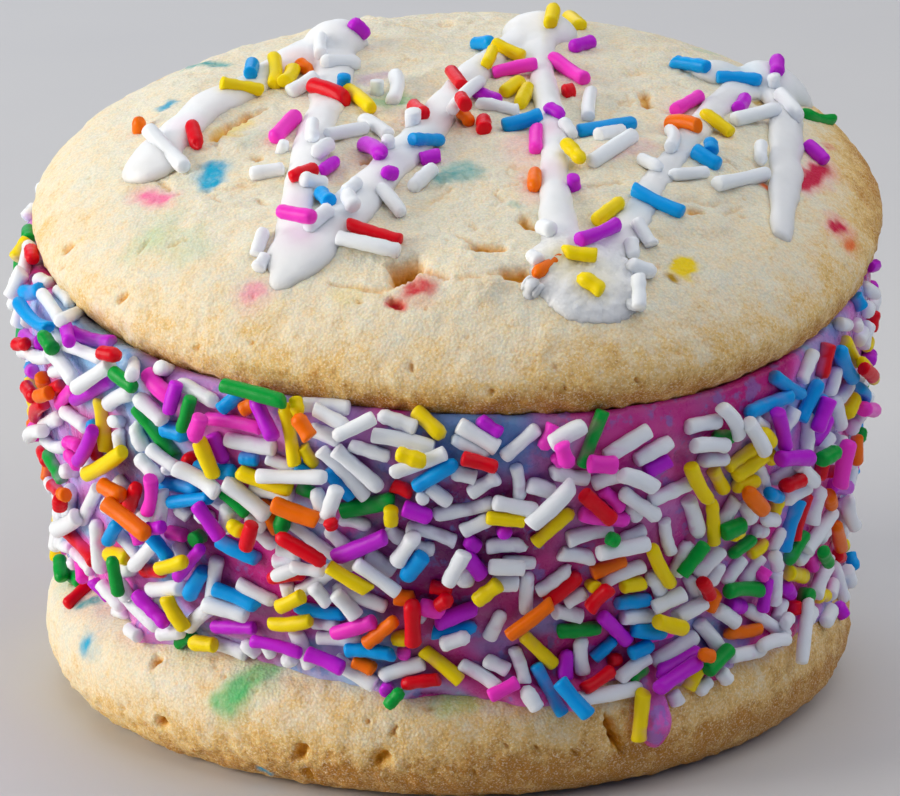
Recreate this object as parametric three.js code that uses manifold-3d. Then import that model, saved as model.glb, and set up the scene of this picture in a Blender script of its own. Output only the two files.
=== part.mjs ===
// Cookie ice cream sandwich: two soft sugar cookies around a thick slice of ice cream, with one line of
// icing piped to and fro over the top cookie. Millimetres, +Z up, and the front faces -Y.
// The origin is the centre of the flat underside of the bottom cookie, on which the sandwich stands.

import * as THREE from 'three';
import { mergeVertices } from 'three/addons/utils/BufferGeometryUtils.js';
import Module from 'manifold-3d';

// ---- driving dimensions ----

const facetsAround = 78; // facets round each cookie and round the ice cream
const gap = 0.35; // clearance between pieces that touch, so that no two solids share space

const bottomCookie = {
  radius: 40, // at the widest ring
  flatRadius: 34.5, // of the flat underside
  edgeHeight: 6.3, // from the underside up to the widest ring
  domeHeight: 7.5, // from the widest ring up to the crown
  shoulder: 5, // how far out the dome stays flat: higher is boxier
  roundness: 3.2, // how upright the dome leaves the widest ring: higher is steeper
  outline: [
    { lobes: 2, cos: 0.01, sin: 0.004 },
    { lobes: 3, cos: -0.006, sin: 0.005 },
    { lobes: 5, cos: 0.003, sin: -0.004 },
  ],
  lumps: 0.1, // how far the dome rises and falls from the smooth form
};

const topCookie = {
  radius: 43,
  flatRadius: 37.5,
  edgeHeight: 4.7,
  domeHeight: 10.2,
  shoulder: 3.6,
  roundness: 1.4,
  outline: [
    { lobes: 2, cos: -0.029, sin: 0.005 },
    { lobes: 3, cos: -0.018, sin: 0.002 },
    { lobes: 5, cos: 0.003, sin: 0.003 },
  ],
  lumps: 0.35,
};

const topCookiePlace = new THREE.Vector3(1.35, 0.65, 48.2); // centre of its widest ring
const topCookieTilt = THREE.MathUtils.degToRad(8); // it leans forward on the soft ice cream

const iceCream = {
  topRadius: 42.8,
  bottomRadius: 38.1,
  topCentre: [0, 0.6],
  bottomCentre: [0.4, 0.2],
  belly: 0.3, // how far the wall bulges at half height
  hang: 38.4, // how far its lower edge reaches out over the bottom cookie, along the cookie's surface
  lipRings: [ // the lower edge where it lies on the cookie: how far back up it, and how thick
    { back: 0, thickness: 1 },
    { back: 0.5, thickness: 1.5 },
    { back: 1, thickness: 1.9 },
  ],
  wallFoot: 3.2, // height of the lowest wall ring above the lower edge
  topRound: 1.6, // rounding under the top cookie
  topLikeness: 0.7, // how far the wall's top takes on the top cookie's outline
};

// Where the lower edge has melted further down or stays higher: degrees from +X, millimetres, degrees.
const meltedEdge = [
  { at: -78, further: 1.8, spread: 7 },
  { at: -50, further: 1.8, spread: 9 },
  { at: -122, further: -1.9, spread: 15 },
  { at: -20, further: 1.6, spread: 14 },
  { at: -158, further: -2.4, spread: 16 },
  { at: 78, further: 1.4, spread: 8 },
  { at: 118, further: 1.8, spread: 8 },
  { at: 30, further: 1.2, spread: 7 },
];

// Runs of melted ice cream down the side of the bottom cookie, measured along its surface.
const drips = [
  { at: -61.8, from: 34.5, to: 45.4, width: 3.6, thickness: 1.8 },
  { at: -73, from: 34.5, to: 40.8, width: 4.8, thickness: 1.5 },
  { at: 78, from: 34.5, to: 44.2, width: 3.6, thickness: 1.7 },
];

// The piped line as strokes from turn to turn, on the top cookie. Each stop is across, towards the
// back, and the width there.
const icingWidth = 4; // the usual width, at which a stroke has the height given with it
const icingStrokes = [
  {
    height: 1.7,
    stops: [[-30.2, -9, 5.2], [-25.5, -0.1, 4.9], [-20.2, 7.6, 4.9], [-14.6, 16.6, 5.2]],
  },
  {
    height: 1.7,
    stops: [[-12.9, 15.7, 4.6], [-13.1, 1.7, 3.9], [-14.8, -13.1, 3.7], [-15.6, -21, 3.4], [-15.4, -28, 4]],
  },
  {
    height: 1.7,
    stops: [[-14.6, -29, 4.2], [-9, -20.6, 4.4], [-3.6, -6.8, 3.8], [0.6, 6.9, 3.5], [6.5, 20, 4.3]],
  },
  {
    height: 1.7,
    stops: [[8, 20.6, 4.4], [7.5, 12.9, 2.9], [8.5, -8.9, 2.8], [8.6, -25.9, 3.5], [9.2, -31.5, 4.2]],
  },
  {
    height: 1.2,
    stops: [[11.2, -34, 4.2], [16.3, -23.8, 3.3], [21.2, -8.2, 2.9], [25.8, 5.2, 3.2], [29.5, 12, 4.2]],
  },
  {
    height: 1.6,
    stops: [[31.4, 12, 4], [31.7, 3.9, 3.6], [31, -6.7, 3.4], [30.2, -15.8, 2.6], [29.6, -22, 1.8]],
  },
];
const icingTurns = [
  { at: [-29.9, -8.8], radius: 3.2, height: 1.9 },
  { at: [-12.9, 16.6], radius: 3.6, height: 3.2 },
  { at: [-14.9, -29.6], radius: 3.5, height: 1.8 },
  { at: [-16.5, -32.3], radius: 1.5, height: 1.1 },
  { at: [8, 20.8], radius: 3.7, height: 2.8 },
  { at: [10.3, -34.2], radius: 4.7, height: 1.7 },
  { at: [11.9, -34.3], radius: 4.5, height: 1.7 },
  { at: [31.2, 13.2], radius: 3.9, height: 3.1 },
  { at: [26, 12.6], radius: 3.3, height: 1.9 },
];

const finish = {
  cookie: { color: 0xe3cf9f, roughness: 0.85, metalness: 0 },
  paleCookie: { color: 0xe6d9b6, roughness: 0.85, metalness: 0 },
  iceCream: { color: 0xc659a3, roughness: 0.45, metalness: 0 },
  icing: { color: 0xe9ecea, roughness: 0.35, metalness: 0 },
};

// ---- shared shapes ----

const turn = 2 * Math.PI;
const quarter = Math.PI / 2;

// Radius at an angle, as a part of the plain round radius.
function outlineFactor(outline, angle) {
  return outline.reduce(
    (sum, wave) => sum + wave.cos * Math.cos(wave.lobes * angle) + wave.sin * Math.sin(wave.lobes * angle),
    1,
  );
}

// Low hills between -1 and 1, broad ones and smaller ones.
function lumpAt(x, y) {
  const broadShare = 0.6;
  const broad = Math.sin(x * 0.21 + 1.3) * Math.cos(y * 0.17 - 0.4);
  const small = Math.sin(x * 0.37 - y * 0.29 + 2.1) * Math.cos(y * 0.41 + x * 0.13);
  return broadShare * broad + (1 - broadShare) * small;
}

// Height of a cookie's dome above its widest ring.
function domeHeight(cookie, x, y) {
  const reach = Math.hypot(x, y) / (cookie.radius * outlineFactor(cookie.outline, Math.atan2(y, x)));
  const across = Math.min(reach, 1);
  const dome = cookie.domeHeight * (1 - across ** cookie.shoulder) ** (1 / cookie.roundness);
  return dome + cookie.lumps * lumpAt(x, y) * (1 - across ** 4);
}

// A closed body from rings of points round the vertical axis, listed from its lowest middle point over
// its outer side to its highest middle point.
function bodyOfRings(lowest, rings, highest) {
  const positions = [lowest, ...rings.flat(), highest].flatMap((point) => point.toArray());
  const topIndex = rings.length * facetsAround + 1;
  const vertex = (ring, step) => 1 + ring * facetsAround + (step % facetsAround);
  const triangles = [];
  for (let step = 0; step < facetsAround; step += 1) {
    triangles.push(0, vertex(0, step + 1), vertex(0, step));
    triangles.push(topIndex, vertex(rings.length - 1, step), vertex(rings.length - 1, step + 1));
    for (let ring = 0; ring + 1 < rings.length; ring += 1) {
      triangles.push(vertex(ring, step), vertex(ring, step + 1), vertex(ring + 1, step + 1));
      triangles.push(vertex(ring, step), vertex(ring + 1, step + 1), vertex(ring + 1, step));
    }
  }
  return geometryFrom(positions, triangles);
}

function geometryFrom(positions, triangles) {
  const geometry = new THREE.BufferGeometry();
  geometry.setAttribute('position', new THREE.Float32BufferAttribute(positions, 3));
  geometry.setIndex(triangles);
  geometry.computeVertexNormals();
  return geometry;
}

// A closed half-round bead from sections along its length. pointAt gives the point at a part of the
// length, at a place across from 1, right, to -1, left, and at a part of the full rise.
function beadGeometry(sections, pointAt) {
  const arcSteps = 5;
  const corners = arcSteps + 1;
  const positions = [];
  for (let section = 0; section <= sections; section += 1) {
    for (let step = 0; step <= arcSteps; step += 1) {
      const swing = (step / arcSteps) * Math.PI;
      positions.push(...pointAt(section / sections, Math.cos(swing), Math.sin(swing)).toArray());
    }
  }
  const triangles = [];
  for (let section = 0; section < sections; section += 1) {
    for (let step = 0; step < corners; step += 1) {
      const here = section * corners + step;
      const beside = section * corners + ((step + 1) % corners);
      triangles.push(here, here + corners, beside + corners, here, beside + corners, beside);
    }
  }
  const lastSection = sections * corners;
  for (let step = 1; step + 1 < corners; step += 1) {
    triangles.push(0, step, step + 1);
    triangles.push(lastSection, lastSection + step + 1, lastSection + step);
  }
  return geometryFrom(positions, triangles);
}

function ringOf(pointAt) {
  return Array.from({ length: facetsAround }, (_, step) => pointAt((step / facetsAround) * turn));
}

const wasm = await Module();
wasm.setup();

function solidOf(geometry) {
  const bare = geometry.clone();
  bare.deleteAttribute('normal');
  const merged = mergeVertices(bare);
  return new wasm.Manifold(new wasm.Mesh({
    numProp: 3,
    vertProperties: new Float32Array(merged.attributes.position.array),
    triVerts: new Uint32Array(merged.index.array),
  }));
}

function joined(geometries) {
  const whole = geometries.map(solidOf).reduce((sum, piece) => sum.add(piece));
  const mesh = whole.getMesh();
  return geometryFrom(Array.from(mesh.vertProperties), Array.from(mesh.triVerts));
}

// ---- cookies: z = 0 at the widest ring ----

function cookieGeometry(cookie) {
  const edgeSteps = 4;
  const domeSteps = 8;
  const innerRings = [0.3, 0.15]; // parts of the radius
  const rings = [];
  for (let step = 0; step <= edgeSteps; step += 1) {
    const swing = (step / edgeSteps) * quarter;
    const radius = cookie.flatRadius + (cookie.radius - cookie.flatRadius) * Math.sin(swing);
    const z = -cookie.edgeHeight * Math.cos(swing);
    rings.push(ringOf((angle) => onOutline(cookie, radius, angle, z)));
  }
  for (let step = 1; step < domeSteps; step += 1) {
    const radius = cookie.radius * Math.cos((step / domeSteps) * quarter) ** (2 / cookie.shoulder);
    rings.push(ringOf((angle) => onDome(cookie, radius, angle)));
  }
  for (const part of innerRings) {
    rings.push(ringOf((angle) => onDome(cookie, cookie.radius * part, angle)));
  }
  const lowest = new THREE.Vector3(0, 0, -cookie.edgeHeight);
  const highest = new THREE.Vector3(0, 0, domeHeight(cookie, 0, 0));
  return bodyOfRings(lowest, rings, highest);
}

function onOutline(cookie, radius, angle, z) {
  const uneven = radius * outlineFactor(cookie.outline, angle);
  return new THREE.Vector3(uneven * Math.cos(angle), uneven * Math.sin(angle), z);
}

function onDome(cookie, radius, angle) {
  const point = onOutline(cookie, radius, angle, 0);
  point.z = domeHeight(cookie, point.x, point.y);
  return point;
}

// ---- ice cream: from the bottom cookie's dome up to the tilted underside of the top cookie ----

// The bottom cookie's section from its crown out over the widest ring and under, as a curve by length.
function cookieSection(cookie) {
  const points = [];
  const steps = 40;
  for (let step = 0; step <= steps; step += 1) {
    const radius = cookie.radius * Math.sin((step / steps) * quarter) ** (2 / cookie.shoulder);
    const z = cookie.domeHeight * Math.cos((step / steps) * quarter) ** (2 / cookie.roundness);
    points.push(new THREE.Vector2(radius, z));
  }
  for (let step = 1; step <= steps; step += 1) {
    const swing = (step / steps) * quarter;
    const radius = cookie.flatRadius + (cookie.radius - cookie.flatRadius) * Math.cos(swing);
    points.push(new THREE.Vector2(radius, -cookie.edgeHeight * Math.sin(swing)));
  }
  const lengths = [0];
  for (let index = 1; index < points.length; index += 1) {
    lengths.push(lengths[index - 1] + points[index].distanceTo(points[index - 1]));
  }
  return { points, lengths };
}

// The point of the section at a length, moved out of the cookie by a distance.
function alongSection(section, length, out) {
  const after = Math.max(1, section.lengths.findIndex((reached) => reached >= length));
  const start = section.points[after - 1];
  const end = section.points[after];
  const part = (length - section.lengths[after - 1]) / (section.lengths[after] - section.lengths[after - 1]);
  const along = end.clone().sub(start).normalize();
  return start.clone().lerp(end, part).add(new THREE.Vector2(-along.y, along.x).multiplyScalar(out));
}

function edgeReach(angle) {
  return meltedEdge.reduce((reach, melt) => {
    const away = THREE.MathUtils.euclideanModulo(THREE.MathUtils.radToDeg(angle) - melt.at + 180, 360) - 180;
    return reach + melt.further * Math.exp(-((away / melt.spread) ** 2));
  }, iceCream.hang);
}

// A point off the bottom cookie's surface by a distance: by angle, and by length from the crown.
function offBottomCookie(section, angle, length, out) {
  const place = alongSection(section, length, out);
  const point = onOutline(bottomCookie, place.x, angle, bottomCookie.edgeHeight + place.y);
  const flatPart = Math.max(0, 1 - (place.x / bottomCookie.radius) ** 4);
  point.z += bottomCookie.lumps * lumpAt(point.x, point.y) * flatPart;
  return point;
}

function iceCreamGeometry(section) {
  const slope = Math.tan(topCookieTilt);
  const undersideHeight = topCookiePlace.z - topCookie.edgeHeight / Math.cos(topCookieTilt);
  const ceiling = (y) => undersideHeight + (y - topCookiePlace.y) * slope - gap / Math.cos(topCookieTilt);
  const wallPoint = (angle, part) => {
    const plain = THREE.MathUtils.lerp(iceCream.bottomRadius, iceCream.topRadius, part);
    const bulged = plain + iceCream.belly * Math.sin(part * Math.PI);
    const shape = THREE.MathUtils.lerp(
      outlineFactor(bottomCookie.outline, angle),
      outlineFactor(topCookie.outline, angle),
      part * iceCream.topLikeness,
    );
    const x = THREE.MathUtils.lerp(iceCream.bottomCentre[0], iceCream.topCentre[0], part);
    const y = THREE.MathUtils.lerp(iceCream.bottomCentre[1], iceCream.topCentre[1], part);
    return new THREE.Vector3(x + bulged * shape * Math.cos(angle), y + bulged * shape * Math.sin(angle), 0);
  };

  const rings = [];
  // Rings of its underside, as parts of its reach, closer where the cookie bends.
  for (const part of [0.45, 0.7, 0.79, 0.83, 0.87, 0.905, 0.94, 0.97, 1]) {
    rings.push(ringOf((angle) => offBottomCookie(section, angle, edgeReach(angle) * part, gap)));
  }
  const lipInset = 0.2;
  for (const { back, thickness } of iceCream.lipRings) {
    rings.push(ringOf((angle) => {
      const reach = edgeReach(angle);
      const length = THREE.MathUtils.lerp(reach, Math.min(reach, iceCream.hang), back);
      return offBottomCookie(section, angle, length - lipInset, gap + thickness);
    }));
  }
  const wallSteps = 5;
  for (let step = 0; step <= wallSteps; step += 1) {
    const part = step / wallSteps;
    rings.push(ringOf((angle) => {
      const point = wallPoint(angle, part);
      const lowerEdge = bottomCookie.edgeHeight + alongSection(section, iceCream.hang, 0).y;
      const foot = lowerEdge + iceCream.wallFoot;
      point.z = THREE.MathUtils.lerp(foot, ceiling(point.y) - iceCream.topRound, part);
      return point;
    }));
  }
  for (const inwards of [iceCream.topRound, iceCream.topRadius / 2]) {
    rings.push(ringOf((angle) => {
      const rim = wallPoint(angle, 1);
      const point = rim.clone().multiplyScalar(1 - inwards / rim.length());
      point.z = ceiling(point.y);
      return point;
    }));
  }
  const lowest = new THREE.Vector3(0, 0, bottomCookie.edgeHeight + domeHeight(bottomCookie, 0, 0) + gap);
  const highest = new THREE.Vector3(0, 0, ceiling(0));
  return bodyOfRings(lowest, rings, highest);
}

// A run of melted ice cream: a half-round bead that narrows down the cookie's side to a round end.
function dripGeometry(section, drip) {
  const sections = 9;
  const roundEnd = 0.7; // the part of the length where the end starts to round off
  const spread = 1.5; // how much wider it starts than it ends
  const narrowing = 0.9; // how far the end closes, before the flat cap
  return beadGeometry(sections, (part, across, rise) => {
    const ending = Math.max(0, (part - roundEnd) / (1 - roundEnd));
    const taper = Math.sqrt(1 - narrowing * ending ** 2);
    const width = drip.width * taper * THREE.MathUtils.lerp(spread, 1, Math.min(1, 2 * part));
    const angle = THREE.MathUtils.degToRad(drip.at) - (across * width) / 2 / bottomCookie.radius;
    const length = THREE.MathUtils.lerp(drip.from, drip.to, part);
    return offBottomCookie(section, angle, length, gap + rise * drip.thickness * taper);
  });
}

function iceCreamWithDrips() {
  const section = cookieSection(bottomCookie);
  const runs = drips.map((drip) => dripGeometry(section, drip));
  return joined([iceCreamGeometry(section), ...runs]);
}

// ---- icing, on the top cookie's dome ----

function onTopCookie(x, y, height) {
  return new THREE.Vector3(x, y, domeHeight(topCookie, x, y) + gap + height);
}

// One stroke: a half-round bead whose flat side follows the dome.
function strokeGeometry({ height, stops }) {
  const sections = 9;
  const path = new THREE.CatmullRomCurve3(stops.map(([x, y]) => new THREE.Vector3(x, y, 0)));
  const widthPoints = stops.map(([, , width], index) => new THREE.Vector3(index, width, 0));
  const widths = new THREE.CatmullRomCurve3(widthPoints);
  return beadGeometry(sections, (part, across, rise) => {
    const width = widths.getPoint(part).y;
    const side = path.getTangent(part).applyAxisAngle(new THREE.Vector3(0, 0, 1), -quarter);
    const spot = path.getPoint(part).addScaledVector(side, (across * width) / 2);
    return onTopCookie(spot.x, spot.y, rise * height * Math.sqrt(width / icingWidth));
  });
}

// The heap of icing at a turn.
function turnGeometry({ at, radius, height }) {
  const sides = 10;
  const levels = 3;
  const positions = [...onTopCookie(at[0], at[1], 0).toArray()];
  for (let level = 0; level < levels; level += 1) {
    const rise = (level / levels) * quarter;
    for (let side = 0; side < sides; side += 1) {
      const angle = (side / sides) * turn;
      const reach = radius * Math.cos(rise);
      const spot = [at[0] + reach * Math.cos(angle), at[1] + reach * Math.sin(angle)];
      positions.push(...onTopCookie(spot[0], spot[1], height * Math.sin(rise)).toArray());
    }
  }
  positions.push(...onTopCookie(at[0], at[1], height).toArray());
  const top = 1 + levels * sides;
  const triangles = [];
  for (let side = 0; side < sides; side += 1) {
    const next = (side + 1) % sides;
    triangles.push(0, 1 + next, 1 + side);
    triangles.push(top, top - sides + side, top - sides + next);
    for (let level = 0; level + 1 < levels; level += 1) {
      const low = 1 + level * sides;
      const high = low + sides;
      triangles.push(low + side, low + next, high + next, low + side, high + next, high + side);
    }
  }
  return geometryFrom(positions, triangles);
}

function icingGeometry() {
  return joined([...icingStrokes.map(strokeGeometry), ...icingTurns.map(turnGeometry)]);
}

// ---- the sandwich ----

function namedMesh(name, geometry, look) {
  const mesh = new THREE.Mesh(geometry, new THREE.MeshStandardMaterial(look));
  mesh.name = name;
  return mesh;
}

function bottomCookieMesh() {
  const mesh = namedMesh('bottom_cookie', cookieGeometry(bottomCookie), finish.cookie);
  mesh.position.z = bottomCookie.edgeHeight;
  return mesh;
}

function topCookieGroup() {
  const group = new THREE.Group();
  group.add(namedMesh('top_cookie', cookieGeometry(topCookie), finish.paleCookie));
  group.add(namedMesh('icing', icingGeometry(), finish.icing));
  group.position.copy(topCookiePlace);
  group.rotation.x = topCookieTilt;
  return group;
}

const sandwich = new THREE.Group();
sandwich.add(bottomCookieMesh());
sandwich.add(namedMesh('ice_cream', iceCreamWithDrips(), finish.iceCream));
sandwich.add(topCookieGroup());

export default sandwich;
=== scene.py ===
import math

import bpy
import numpy as np
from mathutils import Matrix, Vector
from mathutils.bvhtree import BVHTree
from mathutils.kdtree import KDTree


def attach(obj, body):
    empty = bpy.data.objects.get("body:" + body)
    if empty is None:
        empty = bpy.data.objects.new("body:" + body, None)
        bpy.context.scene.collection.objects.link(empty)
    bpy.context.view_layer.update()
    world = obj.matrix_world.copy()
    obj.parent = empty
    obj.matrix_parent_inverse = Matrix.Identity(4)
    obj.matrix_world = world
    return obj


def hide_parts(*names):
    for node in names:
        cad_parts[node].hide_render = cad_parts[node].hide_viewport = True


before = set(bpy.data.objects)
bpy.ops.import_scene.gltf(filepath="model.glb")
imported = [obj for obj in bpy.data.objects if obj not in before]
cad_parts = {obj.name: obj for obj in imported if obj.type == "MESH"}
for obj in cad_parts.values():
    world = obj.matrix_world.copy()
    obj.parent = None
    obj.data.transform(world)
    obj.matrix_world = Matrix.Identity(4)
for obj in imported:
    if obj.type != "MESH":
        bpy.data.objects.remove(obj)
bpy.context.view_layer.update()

# Sizes are in millimetres until a mesh is made; meshes, lights and the camera are in metres.
mm = 0.001


# camera, and the way from a pixel of its view to a place on the food

view = {
    "target": (0.0, 0.35, 28.1),
    "distance": 450.0,
    "elevation": 17.0,            # degrees above the horizon
    "focal": 4510.0,              # in pixels
    "pixels": (900, 796),         # width and height of the view
    "sensor": 36.0,
    "clip": (0.01, 20.0),         # in metres
    "search": (70.0, 0.05),       # a ray is looked along so far before and behind the target, in such steps
}


def viewFrame():
    tilt = math.radians(view["elevation"])
    back = np.array([0.0, -math.cos(tilt), math.sin(tilt)])
    eye = np.array(view["target"]) + back * view["distance"]
    right = np.array([1.0, 0.0, 0.0])
    return eye, right, np.cross(right, -back), -back


eyePoint, eyeRight, eyeUp, eyeAhead = viewFrame()


def pixelRay(px, py):
    width, height = view["pixels"]
    way = eyeAhead + eyeRight * (px - width / 2) / view["focal"] - eyeUp * (py - height / 2) / view["focal"]
    return way / np.linalg.norm(way)


def pixelOf(point):
    width, height = view["pixels"]
    offset = np.asarray(point) - eyePoint
    ahead = offset @ eyeAhead
    return np.array([width / 2 + view["focal"] * (offset @ eyeRight) / ahead,
                     height / 2 - view["focal"] * (offset @ eyeUp) / ahead])


def castPixel(trees, px, py):
    # place, normal and distance of the first surface on a pixel's ray
    best = None
    for tree in trees:
        hit, normal, _, distance = tree.ray_cast(Vector(eyePoint * mm), Vector(pixelRay(px, py)))
        if hit is not None and (best is None or distance < best[2]):
            best = (np.array(hit) / mm, np.array(normal), distance)
    return best


def makeCamera():
    data = bpy.data.cameras.new("camera")
    data.sensor_width = view["sensor"]
    data.lens = view["focal"] * view["sensor"] / view["pixels"][0]
    data.clip_start, data.clip_end = view["clip"]
    camera = bpy.data.objects.new("camera", data)
    camera.location = eyePoint * mm
    camera.rotation_euler = Vector(eyeAhead).to_track_quat("-Z", "Y").to_euler()
    bpy.context.scene.collection.objects.link(camera)
    bpy.context.scene.camera = camera


# noise and small numeric helpers, for thousands of points at once

hashFactors = (73856093, 19349663, 83492791, 2654435761, 1274126177)     # large and odd, to mix the bits
lowBits = 0xFFFFFFFF


def hashCells(cells, seed):
    a, b, c, d, e = hashFactors
    mixed = (cells[:, 0] * a ^ cells[:, 1] * b ^ cells[:, 2] * c ^ seed * d) & lowBits
    mixed = ((mixed ^ (mixed >> 13)) * e) & lowBits
    return mixed ^ (mixed >> 16)


def gradientNoise(points, size, seed):
    # smooth noise round 0, mostly within 1 of it
    scaled = points / size + seed * 7.31
    cells = np.floor(scaled).astype(np.int64)
    part = scaled - cells
    fade = part ** 3 * (part * (part * 6 - 15) + 10)
    total = np.zeros(len(points))
    for corner in np.ndindex(2, 2, 2):
        hashed = hashCells(cells + corner, seed)
        slope = np.stack([hashed & 1023, (hashed >> 10) & 1023, (hashed >> 20) & 1023], axis=1) / 511.5 - 1
        share = np.prod(np.where(corner, fade, 1 - fade), axis=1)
        total += share * np.sum(slope * (part - corner), axis=1)
    return total * 1.5


def layeredNoise(points, size, layers, seed):
    total = np.zeros(len(points))
    for layer in range(layers):
        total += gradientNoise(points, size / 2 ** layer, seed + layer * 11) / 2 ** layer
    return total


def smoothStep(low, high, value):
    # 0 at low, 1 at high, which may lie either way round
    part = np.clip((value - low) / (high - low), 0, 1)
    return part * part * (3 - 2 * part)


def blendTo(a, b, part):
    return a + (b - a) * part


def segmentDistance(points, start, end):
    along = end - start
    part = np.clip((points - start) @ along / max(along @ along, 1e-9), 0, 1)
    return np.linalg.norm(points - start - part[:, None] * along, axis=1)


# mesh helpers

def bridge(lowFirst, lowCount, highFirst, highCount):
    # the triangles between two rings of points, which may differ in number
    turns = np.concatenate([(np.arange(count) + 0.5) / count for count in (lowCount, highCount)])
    order = np.argsort(turns, kind="stable")
    isLow = order < lowCount
    low = np.cumsum(isLow) - isLow
    high = np.cumsum(~isLow) - ~isLow
    nextCorner = np.where(isLow, lowFirst + (low + 1) % lowCount, highFirst + (high + 1) % highCount)
    return np.stack([lowFirst + low % lowCount, nextCorner, highFirst + high % highCount], axis=1)


def ringBody(stops, counts, pointAt):
    # a closed body of one ring at each stop, from the lowest middle over the outside to the highest middle
    rings, triangles, first = [], [], 1
    for index, (stop, count) in enumerate(zip(stops, counts)):
        angles = np.arange(count) / count * 2 * math.pi
        rings.append(pointAt(stop, angles))
        if index:
            triangles.append(bridge(first - counts[index - 1], counts[index - 1], first, count))
        first += count
    floor, roof = fan(0, 1, counts[0])[:, [0, 2, 1]], fan(first, first - counts[-1], counts[-1])
    return capped(rings), np.concatenate([floor, *triangles, roof])


def ringCounts(section, edges):
    # how many points each ring needs for edges of these lengths
    return [max(8, int(round(2 * math.pi * radius / edge))) for (radius, _), edge in zip(section, edges)]


def capped(rings):
    # all points, with the middle of the first ring before them and that of the last one behind them
    return np.concatenate([[rings[0].mean(axis=0)], *rings, [rings[-1].mean(axis=0)]])


def fan(middle, first, count):
    step = np.arange(count)
    return np.stack([np.full_like(step, middle), first + step, first + (step + 1) % count], axis=1)


def tubeTriangles(around, rings):
    # the same number of points in every ring
    step = np.arange(around)
    following = (step + 1) % around
    triangles = [fan(0, 1, around)]
    for ring in range(rings - 1):
        low, high = 1 + ring * around, 1 + (ring + 1) * around
        triangles.append(np.stack([low + step, high + step, high + following], axis=1))
        triangles.append(np.stack([low + step, high + following, low + following], axis=1))
    last, low = 1 + rings * around, 1 + (rings - 1) * around
    triangles.append(fan(last, low, around)[:, [0, 2, 1]])
    return np.concatenate(triangles)


def vertexNormals(points, triangles):
    a, b, c = (points[triangles[:, corner]] for corner in range(3))
    faces = np.cross(b - a, c - a)
    corners = triangles.ravel()
    normals = np.stack([np.bincount(corners, weights=np.repeat(faces[:, axis], 3), minlength=len(points))
                        for axis in range(3)], axis=1)
    return normals / np.maximum(np.linalg.norm(normals, axis=1, keepdims=True), 1e-12)


def meshPiece(name, points, triangles, material, body="root"):
    mesh = bpy.data.meshes.new(name)
    mesh.vertices.add(len(points))
    mesh.vertices.foreach_set("co", (points * mm).ravel())
    mesh.loops.add(triangles.size)
    mesh.loops.foreach_set("vertex_index", triangles.ravel())
    mesh.polygons.add(len(triangles))
    mesh.polygons.foreach_set("loop_start", np.arange(0, triangles.size, 3))
    mesh.polygons.foreach_set("use_smooth", np.ones(len(triangles), dtype=bool))
    mesh.update(calc_edges=True)
    mesh.validate()
    mesh.materials.append(material)
    piece = bpy.data.objects.new(name, mesh)
    bpy.context.scene.collection.objects.link(piece)
    if body:
        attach(piece, body)
    return piece


def meshArrays(piece):
    mesh = piece.data
    mesh.calc_loop_triangles()
    points = np.zeros(len(mesh.vertices) * 3)
    mesh.vertices.foreach_get("co", points)
    triangles = np.zeros(len(mesh.loop_triangles) * 3, dtype=np.int32)
    mesh.loop_triangles.foreach_get("vertices", triangles)
    return points.reshape(-1, 3) / mm, triangles.reshape(-1, 3)


def remeshed(points, triangles, voxel):
    # the one smooth skin round solids that run into each other
    piece = meshPiece("remesh", points, triangles, None, body=None)
    remesh = piece.modifiers.new("remesh", "REMESH")
    remesh.mode = "VOXEL"
    remesh.voxel_size = voxel * mm
    smooth = piece.modifiers.new("smooth", "SMOOTH")
    smooth.factor, smooth.iterations = 0.5, 4
    skin = bpy.data.meshes.new_from_object(piece.evaluated_get(bpy.context.evaluated_depsgraph_get()))
    old = piece.data
    piece.data = skin
    arrays = meshArrays(piece)
    bpy.data.objects.remove(piece)
    bpy.data.meshes.remove(skin)
    bpy.data.meshes.remove(old)
    return arrays


def joinArrays(parts):
    points, triangles, first = [], [], 0
    for partPoints, partTriangles in parts:
        points.append(partPoints)
        triangles.append(partTriangles + first)
        first += len(partPoints)
    return np.concatenate(points), np.concatenate(triangles)


def store(piece, name, values):
    # one number or one colour at each point
    kind, field = ("FLOAT", "value") if values.ndim == 1 else ("FLOAT_COLOR", "color")
    attribute = piece.data.attributes.new(name, kind, "POINT")
    attribute.data.foreach_set(field, values.astype(np.float32).ravel())


def surfaceTree(piece):
    points, triangles = meshArrays(piece)
    return BVHTree.FromPolygons((points * mm).tolist(), triangles.tolist(), all_triangles=True)


# shader helpers and the groups that several materials share

def linear(red, green, blue):
    def channel(value):
        value /= 255
        return value / 12.92 if value <= 0.04045 else ((value + 0.055) / 1.055) ** 2.4
    return channel(red), channel(green), channel(blue), 1.0


def addNode(tree, kind, inputs=None, **settings):
    node = tree.nodes.new(kind)
    for name, value in settings.items():
        setattr(node, name, value)
    for name, value in (inputs or {}).items():
        if isinstance(value, bpy.types.NodeSocket):
            tree.links.new(value, node.inputs[name])
        else:
            node.inputs[name].default_value = value
    return node


def mixColour(tree, factor, first, second, blend="MIX"):
    node = addNode(tree, "ShaderNodeMix", {"Factor": factor, 6: first, 7: second}, data_type="RGBA",
                   blend_type=blend)
    return node.outputs[2]


def mixNumber(tree, factor, first, second):
    return addNode(tree, "ShaderNodeMix", {"Factor": factor, 2: first, 3: second}).outputs[0]


def calculated(tree, operation, *values, clamp=False):
    node = addNode(tree, "ShaderNodeMath", dict(enumerate(values)), operation=operation, use_clamp=clamp)
    return node.outputs[0]


def mapped(tree, value, start, end):
    # value from one span to another, held at its ends
    node = addNode(tree, "ShaderNodeMapRange", {"Value": value, "From Min": start[0], "From Max": start[1],
                                                "To Min": end[0], "To Max": end[1]})
    return node.outputs[0]


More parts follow.
